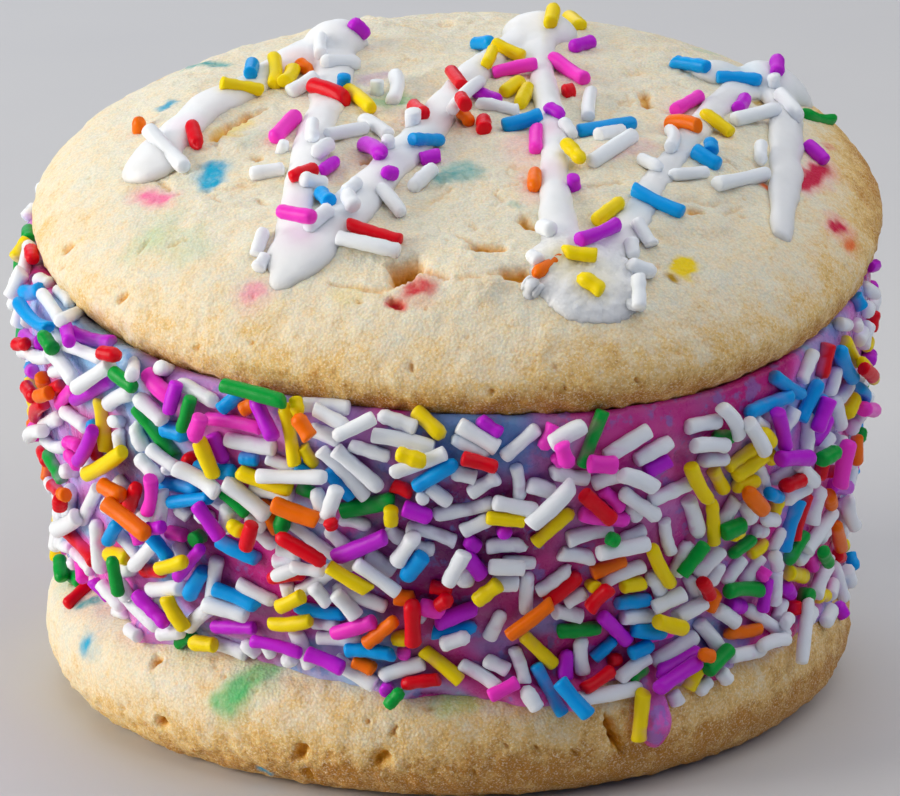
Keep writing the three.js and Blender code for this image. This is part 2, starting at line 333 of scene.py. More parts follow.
def stored(tree, name):
    return addNode(tree, "ShaderNodeAttribute", attribute_name=name).outputs


def noiseNode(tree, vector, scale, detail, roughness):
    node = addNode(tree, "ShaderNodeTexNoise", {"Vector": vector, "Scale": scale, "Detail": detail,
                                                "Roughness": roughness})
    return node.outputs["Fac"]


def newGroup(name, inputs, outputs):
    tree = bpy.data.node_groups.new(name, "ShaderNodeTree")
    for socketName, kind, default in inputs:
        socket = tree.interface.new_socket(name=socketName, in_out="INPUT", socket_type=kind)
        if default is not None:
            socket.default_value = default
    for socketName, kind in outputs:
        tree.interface.new_socket(name=socketName, in_out="OUTPUT", socket_type=kind)
    return tree, tree.nodes.new("NodeGroupInput"), tree.nodes.new("NodeGroupOutput")


def makeGrainGroup():
    # fine grain at two sizes and round granules, as a height round 0.5
    tree, given, made = newGroup(
        "fineGrain",
        [("Vector", "NodeSocketVector", None), ("Size mm", "NodeSocketFloat", 0.4),
         ("Coarse Share", "NodeSocketFloat", 0.4), ("Granules", "NodeSocketFloat", 0.0)],
        [("Height", "NodeSocketFloat")])
    where = given.outputs["Vector"]
    scale = calculated(tree, "DIVIDE", 1 / mm, given.outputs["Size mm"])
    fine = noiseNode(tree, where, scale, 3.0, 0.6)
    coarse = noiseNode(tree, where, calculated(tree, "MULTIPLY", scale, 0.33), 2.0, 0.5)
    both = mixNumber(tree, given.outputs["Coarse Share"], fine, coarse)
    cells = addNode(tree, "ShaderNodeTexVoronoi", {"Vector": where, "Scale": scale})
    granules = calculated(tree, "SUBTRACT", 0.95, cells.outputs["Distance"])
    height = mixNumber(tree, given.outputs["Granules"], both, granules)
    tree.links.new(height, made.inputs["Height"])
    return tree


def makeMottleGroup():
    # two colours in soft patches
    tree, given, made = newGroup(
        "mottle",
        [("Vector", "NodeSocketVector", None), ("Size mm", "NodeSocketFloat", 3.0),
         ("Contrast", "NodeSocketFloat", 0.5), ("Pale", "NodeSocketColor", (1, 1, 1, 1)),
         ("Deep", "NodeSocketColor", (0.5, 0.5, 0.5, 1))],
        [("Color", "NodeSocketColor"), ("Mask", "NodeSocketFloat")])
    scale = calculated(tree, "DIVIDE", 1 / mm, given.outputs["Size mm"])
    noise = noiseNode(tree, given.outputs["Vector"], scale, 4.0, 0.6)
    centred = calculated(tree, "SUBTRACT", noise, 0.5)
    spread = calculated(tree, "MULTIPLY", centred, given.outputs["Contrast"])
    mask = calculated(tree, "ADD", spread, 0.5, clamp=True)
    mixed = mixColour(tree, mask, given.outputs["Pale"], given.outputs["Deep"])
    tree.links.new(mixed, made.inputs["Color"])
    tree.links.new(mask, made.inputs["Mask"])
    return tree


grainGroup = makeGrainGroup()
mottleGroup = makeMottleGroup()


def newMaterial(name, settings):
    # settings: what is the same all over the surface, by the shader's own names
    material = bpy.data.materials.new(name)
    material.use_nodes = True
    tree = material.node_tree
    tree.nodes.clear()
    shader = addNode(tree, "ShaderNodeBsdfPrincipled", settings)
    output = addNode(tree, "ShaderNodeOutputMaterial")
    tree.links.new(shader.outputs[0], output.inputs["Surface"])
    where = addNode(tree, "ShaderNodeTexCoord")
    return material, tree, shader, where.outputs["Object"]


def groupNode(tree, group, where, settings):
    return addNode(tree, "ShaderNodeGroup", {"Vector": where, **settings}, node_tree=group).outputs


def bumpFrom(tree, shader, height, distance, strength):
    bump = addNode(tree, "ShaderNodeBump", {"Strength": strength, "Distance": distance * mm,
                                            "Height": height})
    tree.links.new(bump.outputs[0], shader.inputs["Normal"])


print("frame loaded, groups made")


# cookies

bottomCookie = {
    "radius": 40.0, "flatRadius": 34.5, "edgeHeight": 6.3, "domeHeight": 7.5,
    "shoulder": 5.0, "roundness": 3.2, "lumps": 0.1,
    "outline": [(2, 0.01, 0.004), (3, -0.006, 0.005), (5, 0.003, -0.004)],
    "place": (0.0, 0.0, 6.3), "tilt": 0.0,
    "fineEdge": 0.36, "coarseEdge": 1.6,     # length of a triangle's side where it shows and where not
    "fineFrom": 33.0,                        # its dome is hidden inside this radius
}

topCookie = {
    "radius": 43.0, "flatRadius": 37.5, "edgeHeight": 4.7, "domeHeight": 10.2,
    "shoulder": 3.6, "roundness": 1.4, "lumps": 0.35,
    "outline": [(2, -0.029, 0.005), (3, -0.018, 0.002), (5, 0.003, 0.003)],
    "place": (1.35, 0.65, 48.2), "tilt": 8.0,
    "fineEdge": 0.34, "coarseEdge": 1.8,
    "fineFrom": 0.0,
}


def outlineFactor(cookie, angles):
    return 1 + sum(cos * np.cos(lobes * angles) + sin * np.sin(lobes * angles)
                   for lobes, cos, sin in cookie["outline"])


def lumpAt(x, y):
    # the soft unevenness that both domes have
    broad = np.sin(x * 0.21 + 1.3) * np.cos(y * 0.17 - 0.4)
    small = np.sin(x * 0.37 - y * 0.29 + 2.1) * np.cos(y * 0.41 + x * 0.13)
    return 0.6 * broad + 0.4 * small


def reachOf(cookie, x, y):
    return np.hypot(x, y) / (cookie["radius"] * outlineFactor(cookie, np.arctan2(y, x)))


def domeHeight(cookie, x, y):
    across = np.minimum(reachOf(cookie, x, y), 1)
    dome = cookie["domeHeight"] * (1 - across ** cookie["shoulder"]) ** (1 / cookie["roundness"])
    return dome + cookie["lumps"] * lumpAt(x, y) * (1 - across ** 4)


def tiltOf(cookie):
    tilt = math.radians(cookie["tilt"])
    return np.array([[1, 0, 0], [0, math.cos(tilt), -math.sin(tilt)], [0, math.sin(tilt), math.cos(tilt)]])


def toWorld(cookie, points):
    return points @ tiltOf(cookie).T + np.array(cookie["place"])


def toCookie(cookie, points):
    return (points - np.array(cookie["place"])) @ tiltOf(cookie)


def sectionCurve(cookie):
    # from the middle of the underside, round the edge and over the dome to the crown, closely spaced
    swing = np.linspace(0, math.pi / 2, 200)
    flat = np.stack([np.linspace(0, cookie["flatRadius"], 60), np.full(60, -cookie["edgeHeight"])], axis=1)
    edge = np.stack([cookie["flatRadius"] + (cookie["radius"] - cookie["flatRadius"]) * np.sin(swing),
                     -cookie["edgeHeight"] * np.cos(swing)], axis=1)
    dome = np.stack([cookie["radius"] * np.cos(swing) ** (2 / cookie["shoulder"]),
                     cookie["domeHeight"] * np.sin(swing) ** (2 / cookie["roundness"])], axis=1)
    curve = np.concatenate([flat, edge[1:], dome[1:]])
    steps = np.hypot(*np.diff(curve, axis=0).T)
    return curve, np.concatenate([[0], np.cumsum(steps)])


def cookieSection(cookie):
    curve, lengths = sectionCurve(cookie)
    flatEnd = cookie["flatRadius"] - 1.5         # the underside is coarse up to here
    stops, edges, length = [], [], cookie["coarseEdge"]
    while length < lengths[-1] - cookie["fineEdge"] * 0.6:
        radius = np.interp(length, lengths, curve[:, 0])
        height = np.interp(length, lengths, curve[:, 1])
        hidden = length < flatEnd or (height > 0.5 and radius < cookie["fineFrom"])
        edge = cookie["coarseEdge"] if hidden else cookie["fineEdge"]
        stops.append((radius, height))
        edges.append(edge)
        length += edge
    return stops, edges


def cookieBody(cookie):
    section, edges = cookieSection(cookie)

    def pointAt(stop, angles):
        radius, height = stop
        uneven = radius * outlineFactor(cookie, angles)
        x, y = uneven * np.cos(angles), uneven * np.sin(angles)
        z = domeHeight(cookie, x, y) if height > 0 else np.full(len(angles), height)
        return np.stack([x, y, z], axis=1)

    return ringBody(section, ringCounts(section, edges), pointAt)


def alongRay(cookie, px, py):
    # close points on a pixel's ray, in the cookie's own frame
    reach, step = view["search"]
    far = np.arange(view["distance"] - reach, view["distance"] + reach, step)
    return toCookie(cookie, eyePoint + far[:, None] * pixelRay(px, py))


def onTopDome(px, py):
    # where a pixel's ray meets the top cookie's smooth dome
    points = alongRay(topCookie, px, py)
    inside = points[:, 2] < domeHeight(topCookie, points[:, 0], points[:, 1])
    inside &= reachOf(topCookie, points[:, 0], points[:, 1]) < 1
    return points[np.argmax(inside)] if inside.any() else None


def onBottomEdge(px, py):
    # the same for the bottom cookie's side and shoulder
    points = alongRay(bottomCookie, px, py)
    reach = reachOf(bottomCookie, points[:, 0], points[:, 1])
    dome = domeHeight(bottomCookie, points[:, 0], points[:, 1])
    depth = np.clip(-points[:, 2] / bottomCookie["edgeHeight"], 0, 1)
    undercut = 1 - bottomCookie["flatRadius"] / bottomCookie["radius"]
    wall = 1 - undercut * (1 - np.sqrt(1 - depth ** 2))
    inside = (points[:, 2] < dome) & (reach < wall)
    return points[np.argmax(inside)] if inside.any() else None


def markMask(points, place, mark, softness, seed, taper=0.0):
    # 1 inside a mark, given by two pixels and a radius in mm, falling to 0 outside it and towards its ends
    x0, y0, x1, y1, radius = mark
    start, end = place(x0, y0), place(x1, y1)
    if start is None or end is None:
        return np.zeros(len(points))
    mask = np.zeros(len(points))
    middle, reach = (start + end) / 2, np.linalg.norm(end - start) / 2 + radius * 2.2
    near = np.where(np.linalg.norm(points - middle, axis=1) < reach)[0]
    wobble = 1 + (0.5 + taper) * layeredNoise(points[near], radius * 1.1 + 0.4, 2, seed)
    along = np.linalg.norm(points[near] - middle, axis=1) / max(np.linalg.norm(end - start) / 2, 0.1)
    wobble *= 1 - taper * np.minimum(along, 1) ** 2
    distance = segmentDistance(points[near], start, end) / (radius * wobble)
    mask[near] = smoothStep(1 + softness, 1 - softness, distance)
    return mask


topMarks = {
    # two pixels, radius in mm, depth in mm
    "hollows": [
        (398, 268, 413, 264, 1.0, 2.2), (403, 276, 407, 270, 0.8, 1.6), (477, 250, 499, 251, 0.55, 0.9),
        (508, 278, 524, 277, 0.6, 1.1), (215, 139, 232, 126, 0.7, 1.3), (232, 126, 252, 117, 0.6, 1.1),
        (66, 250, 69, 247, 0.38, 0.9), (121, 298, 123, 297, 0.42, 0.9), (256, 158, 259, 160, 0.4, 0.9),
        (412, 366, 413, 369, 0.3, 0.7), (249, 343, 252, 341, 0.3, 0.7), (195, 350, 197, 347, 0.25, 0.6),
        (635, 381, 637, 379, 0.3, 0.7), (60, 270, 62, 268, 0.25, 0.6), (644, 94, 647, 106, 0.5, 0.7),
        (524, 220, 532, 226, 0.6, 0.8), (366, 162, 374, 160, 0.5, 0.7), (392, 302, 399, 305, 0.45, 0.8),
        (692, 213, 700, 215, 0.4, 0.6),
    ],
    "cracks": [
        (330, 283, 352, 286, 0.25, 0.3), (352, 286, 382, 291, 0.28, 0.4), (382, 291, 402, 281, 0.3, 0.3),
        (402, 281, 420, 268, 0.35, 0.5), (420, 270, 452, 283, 0.28, 0.35), (452, 283, 486, 281, 0.25, 0.3),
        (486, 281, 508, 274, 0.25, 0.3), (72, 246, 84, 238, 0.2, 0.3), (138, 252, 150, 239, 0.25, 0.3),
        (170, 246, 190, 238, 0.25, 0.35), (425, 205, 452, 190, 0.22, 0.25), (590, 190, 622, 185, 0.22, 0.3),
        (640, 205, 668, 215, 0.28, 0.4), (668, 215, 702, 216, 0.28, 0.4), (705, 160, 735, 166, 0.22, 0.3),
        (250, 118, 270, 110, 0.3, 0.4), (455, 235, 478, 249, 0.22, 0.3),
        (158, 178, 170, 190, 0.3, 0.4), (255, 195, 268, 205, 0.25, 0.3), (205, 190, 222, 204, 0.22, 0.25),
        (120, 168, 140, 176, 0.2, 0.2), (560, 205, 574, 228, 0.25, 0.3), (720, 215, 742, 205, 0.2, 0.25),
    ],
    "pitCount": 110, "pitRadius": (0.14, 0.34), "pitDepth": (0.25, 0.65),
    "tints": [
        # two pixels, radius in mm, colour, strength
        (211, 183, 213, 168, 1.15, "blue", 1.0), (208, 176, 216, 170, 1.7, "blue", 0.35),
        (165, 111, 172, 107, 0.7, "blue", 0.8), (190, 69, 224, 66, 0.8, "turquoise", 0.85),
        (146, 195, 162, 200, 0.9, "pink", 0.75), (146, 195, 162, 200, 1.5, "pink", 0.3),
        (366, 82, 388, 78, 1.1, "lilac", 0.5), (160, 232, 186, 246, 2.3, "green", 0.15),
        (140, 247, 150, 240, 1.6, "green", 0.15), (378, 106, 398, 101, 1.7, "green", 0.5),
        (447, 178, 462, 173, 1.9, "turquoise", 0.7), (252, 293, 258, 290, 1.0, "pink", 0.45),
        (250, 296, 260, 290, 1.8, "pink", 0.15),
        (412, 289, 424, 286, 0.9, "red", 0.85), (392, 303, 400, 306, 0.6, "red", 0.95),
        (416, 290, 424, 284, 1.7, "red", 0.25), (804, 182, 826, 168, 1.9, "pink", 0.3),
        (803, 184, 821, 168, 0.95, "crimson", 1.25), (800, 187, 803, 184, 0.55, "crimson", 1.3),
        (834, 230, 842, 225, 1.4, "pink", 0.3), (834, 228, 840, 226, 0.7, "crimson", 1.2),
        (846, 249, 853, 244, 1.0, "orange", 0.25), (847, 248, 852, 244, 0.5, "orange", 0.85),
        (681, 268, 686, 266, 1.1, "yellow", 1.5), (671, 277, 674, 281, 0.45, "ochre", 1.2),
        (755, 101, 760, 101, 0.5, "ochre", 0.8), (764, 185, 768, 187, 0.45, "orange", 1.2),
        (826, 146, 830, 146, 0.5, "red", 0.5), (583, 249, 586, 249, 0.5, "turquoise", 0.5),
        (510, 204, 518, 208, 0.5, "turquoise", 0.35), (226, 134, 242, 126, 1.2, "yellow", 0.5),
        (610, 155, 640, 150, 1.8, "pink", 0.18), (520, 145, 545, 200, 1.8, "pink", 0.15),
        (345, 292, 352, 298, 1.2, "yellow", 0.2),
        (250, 145, 262, 140, 1.2, "turquoise", 0.2), (700, 50, 716, 54, 1.0, "green", 0.2),
    ],
}

bottomMarks = {
    "hollows": [
        (160, 723, 164, 722, 0.5, 0.9), (155, 661, 158, 660, 0.4, 0.8), (299, 757, 303, 748, 0.5, 0.9),
        (306, 772, 312, 778, 0.4, 0.8), (378, 762, 384, 757, 0.5, 0.9), (392, 735, 396, 728, 0.35, 0.6),
        (366, 722, 368, 718, 0.35, 0.6), (611, 724, 616, 742, 0.48, 1.9),
        (505, 747, 507, 746, 0.24, 0.6), (571, 752, 576, 756, 0.26, 0.6), (471, 772, 473, 771, 0.24, 0.6),
        (462, 728, 464, 727, 0.2, 0.5), (536, 747, 537, 748, 0.22, 0.6), (437, 760, 439, 759, 0.2, 0.5),
    ],
    "cracks": [(606, 714, 611, 724, 0.34, 1.2), (616, 742, 624, 756, 0.3, 1.1)],
    "pitCount": 170, "pitRadius": (0.15, 0.36), "pitDepth": (0.25, 0.65),
    "tints": [
        (83, 646, 87, 644, 0.75, "blue", 0.85), (85, 645, 89, 650, 1.6, "blue", 0.25),
        (79, 604, 94, 601, 0.8, "turquoise", 0.8), (222, 702, 238, 690, 1.1, "green", 0.75),
        (238, 690, 268, 670, 1.2, "green", 0.6), (228, 700, 262, 676, 2.0, "green", 0.25),
        (448, 700, 466, 698, 1.6, "green", 0.4), (262, 770, 268, 773, 0.6, "blue", 0.8),
    ],
}

tintColours = {
    "blue": linear(0, 165, 205), "turquoise": linear(60, 165, 165), "pink": linear(250, 95, 160),
    "lilac": linear(190, 150, 190), "green": linear(80, 190, 110), "red": linear(215, 30, 50),
    "orange": linear(240, 110, 50), "yellow": linear(250, 215, 0), "crimson": linear(205, 18, 66),
    "ochre": linear(190, 146, 0),
}


bakedSurface = {
    # amount, in mm where it's relief, size in mm, layers, seed
    "ragged": (0.1, 9, 3, 0), "swells": (0.4, 10, 2, 1), "lumps": (0.22, 3.4, 2, 2),
    "crumb": (0.15, 1.5, 2, 3), "fineCrumb": (0.07, 0.75, 1, 15), "grain": (0.07, 0.9, 2, 12),
    "ledges": (1, 13, 1, 6), "veins": (1, 5.2, 2, 8), "veined": (1, 9, 2, 9),
    "rimSwells": (0.12, 7, 2, 13), "rimLumps": (0.14, 2.4, 2, 14), "rimCrumb": (0.24, 1.3, 2, 16),
    "blotches": (0.45, 0.7, 2, 90), "topBaking": (0.1, 8, 3, 40), "bottomBaking": (0.12, 7, 3, 40),
    "ledge": 0.38, "settled": 0.04, "veinDepth": 0.3, "veinBend": 1.6, "veinWidth": 0.06,
    "middle": (0.84, 0.74),          # the rough middle ends between these parts of the radius
    "narrow": 0.37,                  # marks below this radius run out to a point
    "footFade": 0.9,                 # height over which the relief fades towards the underside
}


def noiseFrom(points, setting, seed=0):
    amount, size, layers, own = setting
    return amount * layeredNoise(points, size, layers, seed + own)


def cookieRelief(cookie, marks, place, points, rough, seed):
    # how far each point stands out from the smooth form, and how deep it lies in holes
    def noise(kind, at=points):
        return noiseFrom(at, bakedSurface[kind], seed)

    reach = reachOf(cookie, points[:, 0], points[:, 1])
    edge = reach + noise("ragged")
    middle = smoothStep(*bakedSurface["middle"], edge) * smoothStep(0.0, 0.5, points[:, 2]) * rough
    ledge = smoothStep(0.8, 0.775, edge) * smoothStep(-0.1, 0.25, noise("ledges"))
    swells = noise("swells") + bakedSurface["ledge"] * ledge * middle - bakedSurface["settled"]
    crumb = np.abs(noise("crumb")) + noise("fineCrumb")
    bend = np.stack([gradientNoise(points, 4, seed + 4 + axis) for axis in range(3)], axis=1)
    veins = np.abs(noise("veins", (points + bakedSurface["veinBend"] * bend) * (1, 0.7, 1)))
    cracks = smoothStep(bakedSurface["veinWidth"], 0.0, veins)
    cracks = cracks * smoothStep(0.0, 0.3, noise("veined")) * middle
    rim = noise("rimSwells") + noise("rimLumps") + noise("rimCrumb") * smoothStep(1.0, -2.0, points[:, 2])
    hole = bakedSurface["veinDepth"] * cracks
    relief = blendTo(rim, swells + noise("lumps") + crumb, middle) + noise("grain") - hole

    for number, (*ends, radius, depth) in enumerate(marks["hollows"] + marks["cracks"]):
        taper = 0.6 * (radius < bakedSurface["narrow"])
        mask = markMask(points, place, (*ends, radius), 0.4, seed + 20 + number, taper)
        relief -= mask * depth
        hole = np.maximum(hole, mask * min(1, 1.15 * depth))

    rng = np.random.default_rng(seed)              # pits, on the dome's outer part and the side
    shown = np.where(smoothStep(0.62, 0.75, reach) + (points[:, 2] < 0) > 0.5)[0]
    shown = shown[points[shown, 2] > -cookie["edgeHeight"] + 0.8]
    for centre in points[rng.choice(shown, marks["pitCount"], replace=False)]:
        radius = rng.uniform(*marks["pitRadius"])
        depth = rng.uniform(*marks["pitDepth"]) * rng.uniform(0.3, 1)
        near = np.where(np.linalg.norm(points - centre, axis=1) < radius * 2)[0]
        wobble = 1 + 0.4 * gradientNoise(points[near], 0.5, seed + 5)
        mask = smoothStep(1.4, 0.4, np.linalg.norm(points[near] - centre, axis=1) / (radius * wobble))
        relief[near] -= mask * depth
        hole[near] = np.maximum(hole[near], mask * min(1, depth * 1.3))
    return relief, hole, middle


def cookieTint(marks, place, points, seed):
    tint = np.zeros((len(points), 4))
    for number, (*mark, colour, strength) in enumerate(marks["tints"]):
        mask = markMask(points, place, mark, 0.6, seed + 60 + number) * strength
        blotches = 1 + noiseFrom(points, bakedSurface["blotches"], seed + number)
        mask = np.clip(mask * np.clip(blotches, 0.4, 1.25), 0, 1)
        tint[:, :3] = blendTo(tint[:, :3], np.array(tintColours[colour][:3]), mask[:, None])
        tint[:, 3] = 1 - (1 - tint[:, 3]) * (1 - mask)
    tint[:, :3] /= np.maximum(tint[:, 3:], 0.02)
    return np.clip(tint, 0, 1)


crust = {
    "pale": linear(236, 231, 209), "cream": linear(247, 229, 193), "gold": linear(240, 199, 122),
    "brown": linear(198, 136, 48), "hole": linear(238, 172, 30),
    # the deepest holes' colour is partly browning and partly painted shade
    "deepHoleBrownAndShade": linear(190, 122, 12), "sugar": linear(255, 242, 210),
    "baking": [(0.0, "pale"), (0.28, "cream"), (0.66, "gold"), (1.0, "brown")],
    "speckle": {"Size mm": 0.4, "Contrast": 2.6}, "speckleShift": 0.32,
    "patches": {"Size mm": 2.6, "Contrast": 2.4}, "patchShift": 0.46,
    # the sugar colour and glints: pale sugar crystals, made brighter with painted highlights
    "glints": {"Size mm": 0.19, "Contrast": 3.0}, "glintShare": 0.6,
    "grain": {"Size mm": 0.3, "Coarse Share": 0.5, "Granules": 0.5},
    # the grain's low places are darkened with painted shade
    "grainLowShade": 0.13, "deepBrownAndShadeShare": 0.55, "roughness": (0.78, 0.5),      # in the grain's low and high places
    "bump": (0.17, 0.85),                                            # depth in mm, strength
    "shader": {"Subsurface Weight": 0.32, "Subsurface Radius": (1.0, 0.66, 0.34),
               "Subsurface Scale": 1.8 * mm, "Specular IOR Level": 0.35},
}


def cookieMaterial(name):
    material, tree, shader, where = newMaterial(name, crust["shader"])
    hole, tint = stored(tree, "hole")["Fac"], stored(tree, "tint")
    # the browning level, which in places also holds painted shade
    bakeAndShade = stored(tree, "browningAndShade")["Fac"]
    for kind, shift in (("speckle", crust["speckleShift"]), ("patches", crust["patchShift"])):
        mask = groupNode(tree, mottleGroup, where, crust[kind])["Mask"]
        uneven = calculated(tree, "MULTIPLY_ADD", mask, shift, -shift / 2)
        bakeAndShade = calculated(tree, "ADD", bakeAndShade, uneven)
    ramp = addNode(tree, "ShaderNodeValToRGB", {"Fac": bakeAndShade})
    stops = ramp.color_ramp.elements
    stops.remove(stops[1])
    for index, (position, colour) in enumerate(crust["baking"]):
        stop = stops.new(position) if index else stops[0]
        stop.position, stop.color = position, crust[colour]
    grain = groupNode(tree, grainGroup, where, crust["grain"])["Height"]
    # painted shade: the colour darkened in the grain's low places
    grainLowShade = mapped(tree, grain, (0.3, 0.6), (0.0, 1.0))
    shaded = mixColour(tree, crust["grainLowShade"], ramp.outputs["Color"], grainLowShade, "MULTIPLY")
    # pale sugar crystals, partly painted highlight
    sugar = groupNode(tree, mottleGroup, where, crust["glints"])["Mask"]
    glints = mapped(tree, sugar, (0.6, 0.9), (0.0, crust["glintShare"]))
    shaded = mixColour(tree, glints, shaded, crust["sugar"])
    holed = mixColour(tree, hole, shaded, crust["hole"])
    # the deepest parts of holes made darker: browning and painted shade
    deepBrownAndShade = mapped(tree, hole, (0.6, 1.0), (0.0, crust["deepBrownAndShadeShare"]))
    holed = mixColour(tree, deepBrownAndShade, holed, crust["deepHoleBrownAndShade"])
    tinted = mixColour(tree, tint["Alpha"], holed, tint["Color"])
    tree.links.new(tinted, shader.inputs["Base Color"])
    tree.links.new(mapped(tree, grain, (0.35, 0.65), crust["roughness"]), shader.inputs["Roughness"])
    bumpFrom(tree, shader, grain, *crust["bump"])
    return material


def makeCookie(name, cookie, marks, place, rough, browningAndShadeAt, seed):
    points, triangles = cookieBody(cookie)
    normals = vertexNormals(points, triangles)
    relief, hole, middle = cookieRelief(cookie, marks, place, points, rough, seed)
    relief *= smoothStep(0.0, bakedSurface["footFade"], points[:, 2] + cookie["edgeHeight"])
    tint = cookieTint(marks, place, points, seed)
    browningAndShade = browningAndShadeAt(points, middle, seed)
    points = toWorld(cookie, points + normals * relief[:, None])
    piece = meshPiece(name, points, triangles, cookieMaterial(name))
    store(piece, "browningAndShade", np.clip(browningAndShade, 0, 1))
    store(piece, "hole", np.clip(hole, 0, 1))
    store(piece, "tint", tint)
    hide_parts(name)
    print(name, "made,", len(triangles), "triangles")
    return piece


def topBrowningAndShade(points, middle, seed):
    # how brown it is baked, most towards its lower rim and at the front; its right end is darkened with
    # painted shade
    height = points[:, 2] / topCookie["domeHeight"]
    ring = smoothStep(0.75, 0.0, height) * 0.44 + smoothStep(0.1, -0.36, height) * 0.42
    patchy = noiseFrom(points, bakedSurface["topBaking"], seed)
    angle = np.arctan2(points[:, 1], points[:, 0])
    darkerSide = 0.5 + 0.5 * np.cos(angle + 1.2)
    ring *= 0.34 + 0.66 * darkerSide
    ring += 0.46 * smoothStep(0.3, -0.45, height) * np.exp(-((angle + 1.5) / 0.45) ** 2)
    # painted shade: the rim's right end made darker
    ring += 0.6 * smoothStep(0.8, 0.2, height) * np.exp(-((angle - 0.15) / 0.5) ** 2)
    return 0.08 + ring * (1 - 0.55 * middle) + patchy * (1 - 0.5 * middle)


def bottomBrowningAndShade(points, middle, seed):
    # brown low down, partly baking and partly painted shade; darker towards the front right, which is
    # painted shade
    height = points[:, 2] / bottomCookie["edgeHeight"]
    # painted shade: darker towards the front right
    darkerSide = 0.5 + 0.5 * np.cos(np.arctan2(points[:, 1], points[:, 0]) + 0.52)
    ring = smoothStep(1.1, -0.1, height) * 0.3 + smoothStep(0.2, -0.8, height) * 0.72
    patchy = noiseFrom(points, bakedSurface["bottomBaking"], seed)
    return 0.04 + 0.42 * darkerSide + ring * (0.3 + 0.7 * darkerSide) + patchy


# ice cream

iceCream = {
    "topRadius": 42.8, "bottomRadius": 38.1, "topCentre": (0.0, 0.6), "bottomCentre": (0.4, 0.2),
    "belly": 0.3,                    # how far the wall bulges
    "gap": 0.35, "tuck": 0.4,        # to the top cookie, and from there to the wall's upper end
    "sunk": 0.6,                     # depth in the bottom cookie
    "hang": 38.4, "foot": 3.2,       # reach down the bottom cookie, and from there up to the wall
    "voxel": 0.5, "around": 420,     # size of a remeshed cell, and points on each ring before that
    # amount, in mm where it's relief, size in mm, layers, seed
    "waves": (0.34, 8, 2, 31), "ripples": (0.14, 2.2, 2, 32),
    "pocks": (1, 1.7, 2, 33), "pocked": (1, 10, 2, 34), "pockDepth": 0.35,
    "bend": (1, 16, 2, 70), "bands": (0.75, 19, 3, 80), "frayed": (0.3, 3.0, 2, 95),
    "bandBend": 9, "patchBend": 2.5,                             # in mm
    "melt": {"Size mm": 1.4, "Contrast": 1.6}, "pale": linear(236, 110, 196), "paleShare": 0.16,
    "threads": {"Size mm": 2.2, "Contrast": 3.0}, "thread": linear(40, 140, 215), "threadShare": 0.4,
    "grain": {"Size mm": 0.5, "Coarse Share": 0.5}, "bump": (0.3, 0.8), "roughness": (0.16, 0.42),
    "shader": {"Specular IOR Level": 0.35, "Subsurface Weight": 0.2, "Subsurface Radius": (1.0, 0.6, 0.8),
               "Subsurface Scale": 1.5 * mm},
}

meltedEdge = [  # degrees from +X, how much further the lower edge reaches, how wide
    (-78, 1.8, 7), (-50, 1.8, 9), (-122, -1.9, 15), (-20, 1.6, 14), (-158, -2.4, 16),
    (78, 1.4, 8), (118, 1.8, 8), (30, 1.2, 7), (-97, 0.8, 4), (-140, 1.2, 3), (-35, 0.9, 3), (-8, 0.9, 3),
    (55, -0.8, 6), (150, 0.9, 5),
]

drips = [  # degrees from +X, from and to along the cookie's section, width, thickness
    (-61.8, 34.5, 45.4, 3.6, 1.8), (-73, 34.5, 40.8, 4.8, 1.5), (78, 34.5, 44.2, 3.6, 1.7),
    (-56.5, 34.5, 40.4, 2.6, 1.2), (-50, 34.5, 40.8, 2.2, 1.2), (-142, 33.0, 38.6, 5.0, 1.0),
    (118, 34.5, 41.5, 3.0, 1.3), (12, 34.5, 40.9, 3.0, 1.2), (172, 34.5, 40.2, 3.6, 1.2),
]

swirlPatches = [  # a pixel on the wall, radius in mm, colour, strength
    # the wine patches at the front middle are painted shade
    (440, 500, 12.0, "shadeWine", 0.6), (500, 600, 11.0, "shadeWine", 0.7), (640, 580, 9.0, "shadeWine", 0.5),
    (60, 440, 6.0, "lavender", 0.7), (200, 400, 6.0, "lavender", 0.8), (240, 450, 7.0, "pink", 0.7),
    (80, 350, 7.0, "skyBlue", 0.95), (118, 375, 4.5, "skyBlue", 0.95), (140, 425, 5.0, "skyBlue", 0.9),
    (90, 480, 6.0, "lavender", 0.6), (255, 590, 9.0, "magenta", 0.75), (225, 415, 3.5, "pink", 0.8),
    (200, 520, 6.0, "plum", 0.6), (480, 430, 6.0, "teal", 0.75), (330, 420, 5.0, "lavender", 0.6),
    (445, 425, 3.0, "teal", 0.7), (515, 455, 4.5, "teal", 0.75), (565, 525, 3.0, "teal", 0.5),
    (620, 420, 8.0, "rose", 0.9), (710, 410, 8.0, "magenta", 0.8), (640, 470, 7.0, "rose", 0.7),
    (420, 560, 8.0, "plum", 0.85), (470, 520, 5.0, "plum", 0.7), (560, 600, 7.0, "magenta", 0.7),
    (545, 615, 2.4, "teal", 0.6), (500, 645, 2.6, "teal", 0.6), (780, 640, 9.0, "rose", 0.7),
    (840, 600, 9.0, "rose", 0.8), (455, 640, 6.0, "magenta", 0.6), (130, 610, 7.0, "pink", 0.9),
    (650, 725, 7.0, "rose", 0.9), (560, 712, 5.0, "rose", 0.7), (700, 540, 7.0, "rose", 0.7),
    (850, 380, 8.0, "pink", 0.8), (660, 725, 3.5, "orchid", 0.9), (860, 325, 4.0, "lavender", 0.8),
    (600, 520, 6.0, "magenta", 0.6),
]

swirlOrder = ["magenta", "rose", "pink", "lavender", "skyBlue", "lavender", "plum", "rose", "magenta"]

